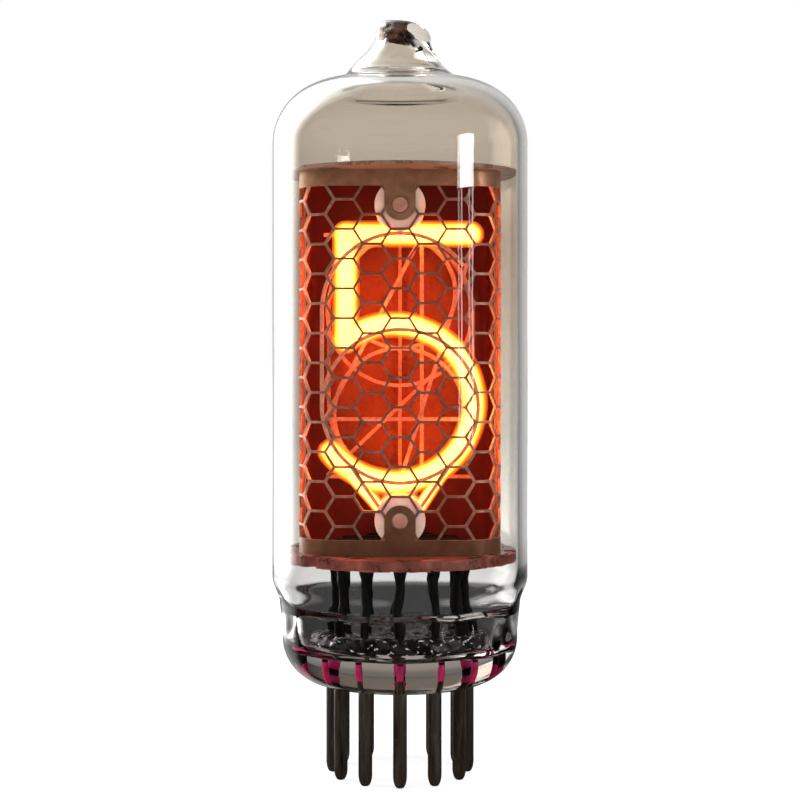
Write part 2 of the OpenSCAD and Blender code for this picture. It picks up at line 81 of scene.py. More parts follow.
class Slot(str, Enum):
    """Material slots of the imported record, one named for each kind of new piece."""

    BULB = "bulb_glass"
    STEM = "stem_glass"
    PIN = "pin_metal"
    SEAL = "seal_copper"
    LEAD = "lead_wire"
    MICA = "mica"
    LIT = "cathode_lit"


class Ray(str, Enum):
    """Kinds of ray that a material can tell apart."""

    CAMERA = "Is Camera Ray"
    GLOSSY = "Is Glossy Ray"
    TRANSMISSION = "Is Transmission Ray"
    SHADOW = "Is Shadow Ray"
    DIFFUSE = "Is Diffuse Ray"


def smoothstep(low: float, high: float, value: float) -> float:
    """A soft ramp that leaves 0 at the low value and reaches 1 at the high one."""
    t = min(max((value - low) / (high - low), 0.0), 1.0)
    return t * t * (3 - 2 * t)


def bell(offset: float, width: float) -> float:
    """A soft bump that is 1 in its middle and little more than a third of that one width away."""
    return math.exp(-((offset / width) ** 2))


def shares(steps: int) -> list[float]:
    """Even steps from 0 to 1, both ends included."""
    return [k / steps for k in range(steps + 1)]


def within(span: Span, share: float) -> float:
    """The number that lies a share of the way along a span."""
    return span[0] + (span[1] - span[0]) * share


def polar(radius: float, degrees: float) -> Point:
    """A point on a circle about the origin, by its angle from the first axis."""
    angle = math.radians(degrees)
    return radius * math.cos(angle), radius * math.sin(angle)


def arc(centre: Point, radius: float, start: float, end: float, steps: int) -> list[Point]:
    """Points along a circular arc from one angle to another, in degrees, both ends included."""
    turns = (within((start, end), t) for t in shares(steps))
    return [(centre[0] + x, centre[1] + y) for x, y in (polar(radius, turn) for turn in turns)]


def straight(start: Point, end: Point, steps: int, soft: bool = False) -> list[Point]:
    """Points along a straight stretch, or along a soft S that leaves and arrives upright, both ends included."""
    return [
        (within((start[0], end[0]), smoothstep(0, 1, t) if soft else t), within((start[1], end[1]), t))
        for t in shares(steps)
    ]


def curve_through(start: Point, knee: Point, end: Point, steps: int) -> list[Point]:
    """Points along a curve that leaves one point, bends towards a knee and reaches another point."""
    return [
        tuple((1 - t) ** 2 * a + 2 * t * (1 - t) * b + t * t * c for a, b, c in zip(start, knee, end))
        for t in shares(steps)
    ]


def waves(place: Vector, wave: Span) -> Vector:
    """Shift of a point on an uneven surface whose waves have a size and a depth."""
    size, depth = wave
    return noise.noise_vector(place / size) * depth


def chance(x: float, y: float, z: float) -> float:
    """A number from 0 to 1 that belongs to one place."""
    return noise.noise(Vector((x, y, z))) * 0.5 + 0.5


def pin_place(index: int, radius: float) -> Point:
    """Place of one pin or lead on a circle, counted from 1 at the front towards +X."""
    return polar(radius, (index - 1) * 360 / PIN_COUNT - 90)


def middle(node: str) -> Vector:
    """Middle of a CAD node's box, in millimetres."""
    low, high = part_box(node)
    return (low + high) / 2 / MM


def block(name: str, bm: Mesh) -> bpy.types.Mesh:
    """Turns a drawn mesh into a data block.

    Args:
        name: Name of the block.
        bm: The drawn mesh, which is used up.

    Returns:
        The block.
    """
    mesh = bpy.data.meshes.new(name)
    bm.to_mesh(mesh)
    bm.free()
    return mesh


def placed(name: str, data: bpy.types.ID) -> Piece:
    """Adds an object to the scene.

    Args:
        name: Name of the object.
        data: Its mesh, lamp or camera.

    Returns:
        The object.
    """
    made = bpy.data.objects.new(name, data)
    bpy.context.scene.collection.objects.link(made)
    return made


def spun(profile: Sequence[Point], steps: int, centre: Point = (0.0, 0.0)) -> Mesh:
    """Turns a profile about an upright axis.

    Args:
        profile: Radius and height of each point, in millimetres.
        steps: Number of steps round the axis.
        centre: Where the axis stands.

    Returns:
        The turned mesh, with faces that point outwards.
    """
    bm = bmesh.new()
    verts = [bm.verts.new((r, 0, z)) for r, z in profile]
    edges = [bm.edges.new(pair) for pair in zip(verts, verts[1:])]
    bmesh.ops.spin(
        bm, geom=verts + edges, cent=(0, 0, 0), axis=(0, 0, 1), angle=2 * math.pi, steps=steps, use_merge=True
    )
    bmesh.ops.remove_doubles(bm, verts=bm.verts, dist=WELD_MM)
    bmesh.ops.recalc_face_normals(bm, faces=bm.faces)
    bmesh.ops.translate(bm, vec=(*centre, 0), verts=bm.verts)
    return bm


def swept(bm: Mesh, path: Sequence[Vector], radii: Sequence[float], sides: int) -> None:
    """Adds a closed round tube along a path.

    Args:
        bm: Mesh that takes the tube.
        path: Points of the tube's middle line.
        radii: Radius at each point.
        sides: Number of faces round the tube.
    """
    tangents = [(path[min(k + 1, len(path) - 1)] - path[max(k - 1, 0)]).normalized() for k in range(len(path))]
    turn = tangents[0].to_track_quat("Z", "Y")
    place = Matrix.Translation(path[0]) @ turn.to_matrix().to_4x4()
    start = bmesh.ops.create_circle(bm, cap_ends=True, segments=sides, radius=radii[0], matrix=place)
    ring = list({e for v in start["verts"] for e in v.link_edges})
    for k in range(1, len(path)):
        turn = tangents[k - 1].rotation_difference(tangents[k]) @ turn
        target = Matrix.Translation(path[k]) @ turn.to_matrix().to_4x4() @ Matrix.Scale(radii[k] / radii[0], 4)
        grown = bmesh.ops.extrude_edge_only(bm, edges=ring)["geom"]
        fresh = [g for g in grown if isinstance(g, bmesh.types.BMVert)]
        bmesh.ops.transform(bm, matrix=target @ place.inverted(), verts=fresh)
        held = set(fresh)
        ring = [g for g in grown if isinstance(g, bmesh.types.BMEdge) and set(g.verts) <= held]
        place = target
    bmesh.ops.contextual_create(bm, geom=ring)


class Nodes:
    """A node tree that is built link by link."""

    def __init__(self, tree: bpy.types.NodeTree) -> None:
        """Takes over a tree and empties it.

        Args:
            tree: The tree of a material or of the world.
        """
        self.tree = tree
        self.tree.nodes.clear()

    def add(self, kind: str, settings: dict[str, Any] | None = None, **inputs: Any) -> Node:
        """Adds a node.

        Args:
            kind: Node type after the common ShaderNode prefix.
            settings: Properties of the node itself.
            inputs: Plain values or output sockets, by input name with underscores for spaces.

        Returns:
            The node.
        """
        node = self.tree.nodes.new("ShaderNode" + kind)
        for key, value in (settings or {}).items():
            setattr(node, key, value)
        for key, value in inputs.items():
            self.feed(node.inputs[key.replace("_", " ")], value)
        return node

    def feed(self, socket: Socket, value: Any) -> None:
        """Links or sets one input.

        Args:
            socket: The input.
            value: An output socket, a colour or a number.
        """
        if isinstance(value, Socket):
            self.tree.links.new(value, socket)
        elif isinstance(value, tuple) and len(value) == 3 and socket.type == "RGBA":
            socket.default_value = (*value, 1.0)
        else:
            socket.default_value = value

    def join(self, operation: str, first: Any, second: Any) -> Socket:
        """Joins two numbers by one sum.

        Args:
            operation: Name of the sum.
            first: First number or socket.
            second: Second number or socket.

        Returns:
            The result.
        """
        node = self.add("Math", {"operation": operation})
        self.feed(node.inputs[0], first)
        self.feed(node.inputs[1], second)
        return node.outputs[0]

    def vector(self, operation: str, first: Socket, second: Any = None) -> Socket:
        """Result of one vector sum.

        Args:
            operation: Name of the sum.
            first: First vector.
            second: Second vector, or the number that scales the first one.

        Returns:
            The vector or number that it gives.
        """
        node = self.add("VectorMath", {"operation": operation}, Vector=first)
        if second is not None:
            self.feed(node.inputs["Scale"] if operation == "SCALE" else node.inputs[1], second)
        return node.outputs["Value" if operation in ("LENGTH", "DOT_PRODUCT") else "Vector"]

    def spread(self, value: Any, source: Span, target: Span = (0.0, 1.0), soft: bool = False) -> Socket:
        """Maps one range of numbers to another, and what lies past it to its ends.

        Args:
            value: The number.
            source: Its range.
            target: Range of the result.
            soft: True for a ramp that leaves and arrives level.

        Returns:
            The mapped number.
        """
        node = self.add("MapRange", {"interpolation_type": "SMOOTHSTEP" if soft else "LINEAR"}, Value=value)
        for key, limit in zip(("From Min", "From Max", "To Min", "To Max"), (*source, *target)):
            self.feed(node.inputs[key], limit)
        return node.outputs["Result"]

    def blend(self, share: Any, first: Any, second: Any) -> Socket:
        """Mixes two colours, by the share of the second one."""
        return self.add("MixRGB", Fac=share, Color1=first, Color2=second).outputs["Color"]

    def rays(self, *kinds: Ray) -> Socket:
        """One for any of these kinds of ray, and zero for the rest.

        Args:
            kinds: The kinds of ray.

        Returns:
            The number.
        """
        path = self.add("LightPath")
        found = path.outputs[kinds[0].value]
        for kind in kinds[1:]:
            found = self.join("MAXIMUM", found, path.outputs[kind.value])
        return found

    def mix(self, share: Any, first: Node, second: Node) -> Node:
        """Mixes two shaders.

        Args:
            share: Share of the second one.
            first: First shader node.
            second: Second shader node.

        Returns:
            The mixing node.
        """
        node = self.add("MixShader", Fac=share)
        self.feed(node.inputs[1], first.outputs[0])
        self.feed(node.inputs[2], second.outputs[0])
        return node


class Paint(Nodes):
    """Node tree of one material."""

    def __init__(self, name: str) -> None:
        """Starts an empty material.

        Args:
            name: Name of the material.
        """
        self.material = bpy.data.materials.new(name)
        self.material.use_nodes = True
        super().__init__(self.material.node_tree)
        self.output = self.tree.nodes.new("ShaderNodeOutputMaterial")

    def place(self, scale: Sequence[float] = (1, 1, 1)) -> Socket:
        """Object coordinates, stretched along x, y and z."""
        coords = self.add("TexCoord").outputs["Object"]
        return self.add("Mapping", Vector=coords, Scale=tuple(scale)).outputs["Vector"]

    def axis(self, name: str) -> Socket:
        """One of the object coordinates X, Y and Z, in metres."""
        return self.add("SeparateXYZ", Vector=self.add("TexCoord").outputs["Object"]).outputs[name]

    def speckle(self, size_mm: float, detail: float, stretch: Sequence[float] = (1, 1, 1)) -> Socket:
        """Soft noise from about 0 to 1; a small stretch along an axis draws its grain out.

        Args:
            size_mm: Size of its grain.
            detail: How much finer grain it holds.
            stretch: Scale along each axis.

        Returns:
            The noise.
        """
        fineness = {"Scale": 1 / (size_mm * MM), "Detail": detail, "Roughness": NOISE_ROUGHNESS}
        return self.add("TexNoise", Vector=self.place(stretch), **fineness).outputs["Fac"]

    def height(self, low_mm: float, high_mm: float) -> Socket:
        """Height on the tube as a number that is 0 at the low height and 1 at the high one."""
        ends = {"From_Min": low_mm * MM, "From_Max": high_mm * MM}
        return self.add("MapRange", {"clamp": False}, Value=self.axis("Z"), **ends).outputs["Result"]

    def ramp(self, value: Socket, stops: Iterable[tuple[float, Colour]]) -> Socket:
        """A colour for each value.

        Args:
            value: Number from 0 to 1.
            stops: Places and colours along it.

        Returns:
            The colour.
        """
        node = self.add("ValToRGB", Fac=value)
        elements = node.color_ramp.elements
        stops = list(stops)
        while len(elements) < len(stops):
            elements.new(1.0)
        for element, (place, colour) in zip(elements, stops):
            element.position = place
            element.color = (*colour, 1.0)
        return node.outputs["Color"]

    def between(self, value: Socket, low: float, high: float) -> Socket:
        """Maps noise to a range."""
        return self.spread(value, NOISE_ENDS, (low, high))

    def relief(self, value: Socket, depth_mm: float) -> Socket:
        """A normal that follows a height pattern."""
        return self.add("Bump", Height=value, Distance=depth_mm * MM).outputs["Normal"]

    def done(self, shader: Node) -> bpy.types.Material:
        """Ends the tree with the shader that the surface shows."""
        self.tree.links.new(shader.outputs[0], self.output.inputs["Surface"])
        return self.material


@dataclass(frozen=True)
class Finish(ABC):
    """A finish that can be put on a piece."""

    name: str

    @abstractmethod
    def paint(self, paint: Paint) -> Node:
        """Builds the shader.

        Args:
            paint: The material's tree.

        Returns:
            The shader that shows.
        """

    def material(self) -> bpy.types.Material:
        """The finish as a material, made once.

        Returns:
            The material.
        """
        found = bpy.data.materials.get(self.name)
        if found is not None:
            return found
        paint = Paint(self.name)
        return paint.done(self.paint(paint))


@dataclass(frozen=True)
class Glass(Finish):
    """Clear glass tinted by height and from front to rear, the tints being painted shade and backdrop seen through it,
    and which lamps shine through.
    """

    stops: tuple[tuple[float, Colour, Colour], ...]
    turn_mm: float = 4.0
    ior: float = 1.5
    wave_mm: float = 9.0
    wave_depth_mm: float = 0.012

    def paint(self, paint: Paint) -> Node:
        """Builds the glass, with a straight way through for the light of the lamps.

        Args:
            paint: The material's tree.

        Returns:
            The shader that shows.
        """
        low, high = self.stops[0][0], self.stops[-1][0]
        level = paint.height(low, high)
        places = [(z - low) / (high - low) for z, _, _ in self.stops]
        front = paint.ramp(level, zip(places, (c for _, c, _ in self.stops)))
        rear = paint.ramp(level, zip(places, (c for _, _, c in self.stops)))
        # Painted shade: the rear half of the glass takes the darker rear tints, which stand in for the shade seen
        # through it.
        side = paint.spread(paint.axis("Y"), (-self.turn_mm * MM, self.turn_mm * MM), soft=True)
        painted_shade_tint = paint.blend(side, front, rear)
        wave = paint.relief(paint.speckle(self.wave_mm, 2.0), self.wave_depth_mm)
        body = paint.add(
            "BsdfPrincipled", Base_Color=painted_shade_tint, Roughness=0.0, IOR=self.ior, Transmission_Weight=1.0, Normal=wave
        )
        through = paint.add("BsdfTransparent", Color=(1.0, 1.0, 1.0))
        return paint.mix(paint.rays(Ray.SHADOW, Ray.DIFFUSE), body, through)


@dataclass(frozen=True)
class Metal(Finish):
    """Sheet or drawn metal with grain, stain and uneven gloss."""

    dark: Colour
    light: Colour
    metallic: float
    gloss: Span
    grain_mm: float
    stretch: Triple = (1, 1, 1)
    relief_mm: float = 0.004
    stain: Colour | None = None
    stain_mm: float = 4.0
    stain_share: float = 0.7
    specular: float = 0.5

    def paint(self, paint: Paint) -> Node:
        """Builds the metal from a grain, a broad stain and a fine relief.

        Args:
            paint: The material's tree.

        Returns:
            The shader that shows.
        """
        grain = paint.speckle(self.grain_mm, 5.0, self.stretch)
        colour = paint.ramp(grain, zip(GRAIN_ENDS, (self.dark, self.light)))
        if self.stain is not None:
            share = paint.between(paint.speckle(self.stain_mm, 3.0), 0.0, self.stain_share)
            colour = paint.blend(share, colour, self.stain)
        return paint.add(
            "BsdfPrincipled",
            Base_Color=colour,
            Metallic=self.metallic,
            Roughness=paint.between(grain, *self.gloss),
            Specular_IOR_Level=self.specular,
            Normal=paint.relief(grain, self.relief_mm),
        )


@dataclass(frozen=True)
class EtchedSheet(Metal):
    """Etched sheet whose plain bands at top and bottom are darker than the webs between them, with painted shade on
    the lower band and the middle webs and painted light on the side webs.
    """

    band_low_painted_shade: Colour = (0.16, 0.066, 0.028)
    band_high: Colour = (0.33, 0.165, 0.09)
    window: Span = (26.6, 64.9)
    tongue_half: float = 1.68
    tongue_reach: float = 0.79
    band_from: float = 0.995
    band_grain_mm: float = 2.0
    band_wear: Span = (0.75, 1.5)
    web_x: Span = (5.0, 10.5)
    web_painted_light: Span = (0.6, 1.15)

    def paint(self, paint: Paint) -> Node:
        """Builds the sheet's metal, paints shade on the webs in its middle and light on those at its sides, and
        darkens its bands towards the bottom as painted shade.

        Args:
            paint: The material's tree.

        Returns:
            The shader that shows.
        """
        shader = super().paint(paint)
        low, high = self.window
        middle_z, half = (low + high) / 2, (high - low) / 2
        level = paint.add("Math", {"operation": "ABSOLUTE"}, Value=paint.height(middle_z, middle_z + half)).outputs[0]
        aside = paint.add("Math", {"operation": "ABSOLUTE"}, Value=paint.axis("X")).outputs[0]
        near = paint.join("LESS_THAN", aside, self.tongue_half * MM)
        tongue = paint.join("MULTIPLY", near, paint.join("GREATER_THAN", level, self.tongue_reach))
        share = paint.join("MAXIMUM", tongue, paint.join("GREATER_THAN", level, self.band_from))
        # Painted shade on the middle webs and painted light on the side webs: the webs' colour is scaled up with
        # distance from the middle.
        painted_web_light = paint.spread(aside, (self.web_x[0] * MM, self.web_x[1] * MM), self.web_painted_light)
        clean = shader.inputs["Base Color"].links[0].from_socket
        webs = paint.vector("SCALE", clean, painted_web_light)
        # Painted shade: the bands darken towards the bottom.
        bands = paint.ramp(paint.height(low, high), ((0.0, self.band_low_painted_shade), (1.0, self.band_high)))
        worn = paint.between(paint.speckle(self.band_grain_mm, 4.0), *self.band_wear)
        bands = paint.vector("SCALE", bands, worn)
        paint.feed(shader.inputs["Base Color"], paint.blend(share, webs, bands))
        return shader


@dataclass(frozen=True)
class GlowPaintedSheet(Metal):
    """Sheet with the numerals' red glow light painted on its inside, fading to painted shade towards its edges, and
    plain metal outside.
    """

    outer: tuple[Colour, Colour] = ((0.17, 0.14, 0.12), (0.23, 0.195, 0.17))
    # Painted shade: the colour that the inside darkens to away from the glow.
    edge: Colour = (0.075, 0.009, 0.006)
    centre_z: float = 45.5
    half_width: float = 10.6
    half_height: float = 21.5
    painted_falloff: Span = (0.55, 1.0)
    ragged: float = 0.08
    ragged_mm: float = 3.0
    brush_mm: float = 0.35
    brush_stretch: Triple = (1, 1, 0.08)

    def paint(self, paint: Paint) -> Node:
        """Builds the sheet's metal with painted glow light, darkens it away from the numerals as painted shade and
        leaves its outside plain.

        Args:
            paint: The material's tree.

        Returns:
            The shader that shows.
        """
        shader = super().paint(paint)
        place = paint.add(
            "Mapping",
            Vector=paint.add("TexCoord").outputs["Object"],
            Location=(0, 0, -self.centre_z / self.half_height),
            Scale=(1 / (self.half_width * MM), 0, 1 / (self.half_height * MM)),
        )
        # Painted glow light: the inside colour fades to the painted shade of the edge colour with distance from the
        # numerals.
        away = paint.vector("LENGTH", place.outputs["Vector"])
        stray = paint.between(paint.speckle(self.ragged_mm, 3.0), -self.ragged, self.ragged)
        share = paint.spread(paint.join("ADD", away, stray), self.painted_falloff, soft=True)
        inside = paint.blend(share, shader.inputs["Base Color"].links[0].from_socket, self.edge)
        outward = paint.vector("DOT_PRODUCT", paint.add("TexCoord").outputs["Normal"], paint.place((1, 1, 0)))
        outside = paint.ramp(paint.speckle(self.brush_mm, 4.0, self.brush_stretch), zip(GRAIN_ENDS, self.outer))
        mixed = paint.blend(paint.join("GREATER_THAN", outward, 0.0), inside, outside)
        paint.feed(shader.inputs["Base Color"], mixed)
        return shader


@dataclass(frozen=True)
class Smoke(Finish):
    """Dark deposit on glass, with painted glints: small highlights painted into its colour by noise."""

    dark: Colour
    brown: Colour
    painted_glint: Colour
    grain_mm: float
    painted_glint_mm: float
    shades: Span = (0.4, 0.66)
    painted_glint_ends: Span = (0.64, 0.72)
    gloss: Span = (0.12, 0.4)
    relief_mm: float = 0.08

    def paint(self, paint: Paint) -> Node:
        """Builds the deposit and its painted glints.

        Args:
            paint: The material's tree.

        Returns:
            The shader that shows.
        """
        grain = paint.speckle(self.grain_mm, 5.0)
        shade = paint.ramp(grain, zip(self.shades, (self.dark, self.brown)))
        # Painted highlights: bright specks blended into the colour where fine noise peaks.
        share = paint.spread(paint.speckle(self.painted_glint_mm, 1.0), self.painted_glint_ends)
        return paint.add(
            "BsdfPrincipled",
            Base_Color=paint.blend(share, shade, self.painted_glint),
            Roughness=paint.between(grain, *self.gloss),
            Normal=paint.relief(grain, self.relief_mm),
        )


@dataclass(frozen=True)
class Ceramic(Finish):
    """Fired ceramic with a faint mottle and a fine tooth."""

    base: Colour
    shade: Colour
    rough: float
    depth_mm: float
    depth_share: float = 0.6
    mottle_mm: float = 0.9
    tooth_mm: float = 0.08
    relief_mm: float = 0.006

    def paint(self, paint: Paint) -> Node:
        """Builds the ceramic, which lets some of the light behind it through.

        Args:
            paint: The material's tree.

        Returns:
            The shader that shows.
        """
        mottle = paint.speckle(self.mottle_mm, 4.0)
        tooth = paint.speckle(self.tooth_mm, 2.0)
        return paint.add(
            "BsdfPrincipled",
            Base_Color=paint.ramp(mottle, zip(NOISE_ENDS, (self.shade, self.base))),
            Roughness=self.rough,
            Subsurface_Weight=self.depth_share,
            Subsurface_Scale=self.depth_mm * MM,
            Normal=paint.relief(tooth, self.relief_mm),
        )


@dataclass(frozen=True)
class Mica(Finish):
    """Split mica: partly clear, cloudy and layered at its edges."""

    base: Colour
    cloud: Colour
    clear: float
    cloud_mm: float = 2.2
    layer_mm: float = 0.9
    layer_stretch: Triple = (0.4, 0.4, 9.0)
    gloss: Span = (0.22, 0.42)
    relief_mm: float = 0.03
    ior: float = 1.56

    def paint(self, paint: Paint) -> Node:
        """Builds the mica.

        Args:
            paint: The material's tree.

        Returns:
            The shader that shows.
        """
        clouds = paint.speckle(self.cloud_mm, 5.0)
        layers = paint.speckle(self.layer_mm, 4.0, self.layer_stretch)
        return paint.add(
            "BsdfPrincipled",
            Base_Color=paint.ramp(clouds, zip(NOISE_ENDS, (self.cloud, self.base))),
            Roughness=paint.between(clouds, *self.gloss),
            Transmission_Weight=self.clear,
            IOR=self.ior,
            Normal=paint.relief(layers, self.relief_mm),
        )


@dataclass(frozen=True)
class Glow(Finish):
    """Glowing gas: uneven light of one colour, either solid or so thin that what is behind shows through."""

    colour: Colour
    strength: float
    density: float = 1.0
    patch_mm: float = 5.0
    unevenness: float = 0.35

    def paint(self, paint: Paint) -> Node:
        """Builds the glow, brighter in some patches than in others.

        Args:
            paint: The material's tree.

        Returns:
            The shader that shows.
        """
        spread = (self.strength * (1 - self.unevenness), self.strength * (1 + self.unevenness))
        patches = paint.between(paint.speckle(self.patch_mm, 2.0), *spread)
        light = paint.add("Emission", Color=self.colour, Strength=patches)
        if self.density >= 1.0:
            return light
        paint.material.cycles.emission_sampling = "NONE"
        return paint.mix(self.density, paint.add("BsdfTransparent"), light)


# Painted shade: the rear tints, near black from 13.9 to 18.3 mm, and the taupe tints at the base and towards the top
# stand in for the shade and backdrop seen through the glass.
BULB_GLASS = Glass(
    "bulb_glass_clear",
    stops=(
        (10.0, (0.5, 0.41, 0.36), (0.15, 0.118, 0.1)),
        (13.4, (0.46, 0.365, 0.315), (0.115, 0.087, 0.073)),
        (13.9, (0.75, 0.73, 0.71), (0.06, 0.06, 0.06)),
        (18.3, (0.78, 0.76, 0.75), (0.06, 0.06, 0.06)),
        (19.3, (0.97, 0.97, 0.96), (0.86, 0.86, 0.85)),
        (27.0, (0.96, 0.95, 0.93), (0.75, 0.72, 0.665)),
        (37.0, (0.94, 0.92, 0.9), (0.54, 0.52, 0.46)),
        (47.0, (0.92, 0.88, 0.85), (0.51, 0.445, 0.38)),
        (60.0, (0.9, 0.85, 0.8), (0.41, 0.34, 0.27)),
        (72.0, (0.93, 0.9, 0.85), (0.6, 0.53, 0.445)),
    ),
)
# The glint colours of the soot and the frit are painted highlights.
TIP_SOOT = Smoke(
    "tip_soot",
    dark=(0.003, 0.002, 0.002),
    brown=(0.16, 0.06, 0.025),
    painted_glint=(0.5, 0.4, 0.34),
    grain_mm=1.6,
    painted_glint_mm=0.5,
)
STEM_FRIT = Smoke(
    "stem_frit_dark",
    dark=(0.004, 0.004, 0.004),
    brown=(0.03, 0.025, 0.022),
    painted_glint=(0.95, 0.93, 0.9),
    grain_mm=1.4,
    painted_glint_mm=0.5,
)
PIN_METAL = Metal(
    "pin_dark_drawn",
    dark=(0.004, 0.004, 0.0035),
    light=(0.1, 0.085, 0.069),
    metallic=0.5,
    gloss=(0.18, 0.42),
    grain_mm=0.7,
    stretch=(1, 1, 0.09),
    relief_mm=0.02,
    stain=(0.06, 0.034, 0.018),
    stain_mm=2.6,
    specular=0.2,
)
SEAL_METAL = Metal(
    "seal_red_oxide",
    dark=(0.4, 0.008, 0.08),
    light=(0.75, 0.025, 0.19),
    metallic=0.0,
    gloss=(0.25, 0.45),
    grain_mm=0.5,
    specular=0.3,
)
LEAD_METAL = Metal(
    "lead_dark_wire",
    dark=(0.002, 0.002, 0.0018),
    light=(0.012, 0.011, 0.0095),
    metallic=0.1,
    gloss=(0.35, 0.6),
    grain_mm=0.4,
    stretch=(1, 1, 0.25),
    relief_mm=0.03,
    specular=0.1,
)
ANODE_METAL = EtchedSheet(
    "anode_etched",
    dark=(0.32, 0.155, 0.1),
    light=(0.6, 0.37, 0.27),
    metallic=0.4,
    gloss=(0.28, 0.46),
    grain_mm=0.5,
    stain=(0.22, 0.1, 0.06),
    stain_mm=3.5,
)
# Painted glow light: the red dark, light and stain colours stand in for the numerals' glow on the sheet's inside.
SHIELD_METAL = GlowPaintedSheet(
    "shield_painted_glow",
    dark=(0.135, 0.032, 0.008),
    light=(0.245, 0.062, 0.016),
    metallic=0.0,
    gloss=(0.5, 0.7),
    grain_mm=0.6,
    stain=(0.2, 0.05, 0.012),
    specular=0.1,
)
CATHODE_METAL = Metal(
    "cathode_etched",
    dark=(0.28, 0.13, 0.075),
    light=(0.5, 0.27, 0.18),
    metallic=0.2,
    gloss=(0.35, 0.55),
    grain_mm=0.4,
)
# Painted light: a lighter copy of the cathode metal for the one cathode that shows lit.
CATHODE_GLOW_LIT = Metal(
    "cathode_etched_glow_lit",
    dark=(0.55, 0.2, 0.11),
    light=(0.8, 0.36, 0.22),
    metallic=0.1,
    gloss=(0.35, 0.55),
    grain_mm=0.4,
)
# Painted glow light: the red of the lower disc stands in for the numeral's glow shining on it.
MICA_BELOW = Mica("mica_painted_glow", base=(0.36, 0.08, 0.05), cloud=(0.04, 0.009, 0.006), clear=0.1)
MICA_ABOVE = Mica("mica_clear", base=(0.5, 0.34, 0.26), cloud=(0.26, 0.15, 0.1), clear=0.45)
# Painted glow light: the red of the split leaves of the lower disc stands in for the numeral's glow.
MICA_FLAKE = Mica("mica_flake", base=(0.55, 0.14, 0.09), cloud=(0.1, 0.018, 0.012), clear=0.2)
# Painted glow light: the orange-pink of the white spacers stands in for the numeral's glow falling on them.
WHITE_CERAMIC = Ceramic(
    "spacer_fired_white", base=(0.98, 0.74, 0.64), shade=(0.92, 0.56, 0.44), rough=0.55, depth_mm=1.6
)
ROD_CERAMIC = Ceramic("rod_ground", base=(0.6, 0.3, 0.21), shade=(0.4, 0.18, 0.12), rough=0.5, depth_mm=0.4)
GLOW_CORE = Glow("glow_core", colour=(1.0, 0.16, 0.022), strength=44.0)
GLOW_LAYERS = (
    (0.92, Glow("glow_yellow", colour=(1.0, 0.36, 0.05), strength=26.0, density=0.15)),
    (1.12, Glow("glow_amber", colour=(1.0, 0.24, 0.02), strength=16.0, density=0.14)),
    (1.3, Glow("glow_orange", colour=(1.0, 0.18, 0.012), strength=9.0, density=0.12)),
    (1.48, Glow("glow_red", colour=(1.0, 0.12, 0.01), strength=4.5, density=0.1)),
)


@dataclass
class Assembly(ABC):
    """A group of pieces that is built and dressed together, with the CAD nodes by name."""

    nodes: dict[str, Piece]

    @abstractmethod
    def build(self) -> list[Piece]:
        """Builds and dresses the pieces that show."""

    @staticmethod
    def piece(
        name: str,
        bm: Mesh,
        finishes: Sequence[Finish],
        slot: Slot,
        stands_for: Sequence[str] = (),
        sharp: float = 40.0,
    ) -> Piece:
        """Makes an object of a mesh drawn in millimetres.

        Args:
            name: Name of the piece.
            bm: Its mesh, which is used up.
            finishes: Finishes in the order of its material slots.
            slot: Not used.
            stands_for: CAD nodes that it replaces.
            sharp: Angle in degrees past which an edge stays sharp.

        Returns:
            The object, riding on the body.
        """
        bmesh.ops.scale(bm, vec=(MM, MM, MM), verts=bm.verts)
        mesh = block(name, bm)
        mesh.shade_smooth()
        mesh.set_sharp_from_angle(angle=math.radians(sharp))
        for finish in finishes:
            mesh.materials.append(finish.material())
        made = placed(name, mesh)
        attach(made, BODY)
        if stands_for:
            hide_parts(*stands_for)
        return made

    def dress(self, name: str, finish: Finish) -> Piece:
        """Puts a finish on a CAD node.

        Args:
            name: Name of the node.
            finish: The finish.

        Returns:
            The node's object.
        """
        node = self.nodes[name]
        node.data.materials.clear()
        node.data.materials.append(finish.material())
        return node


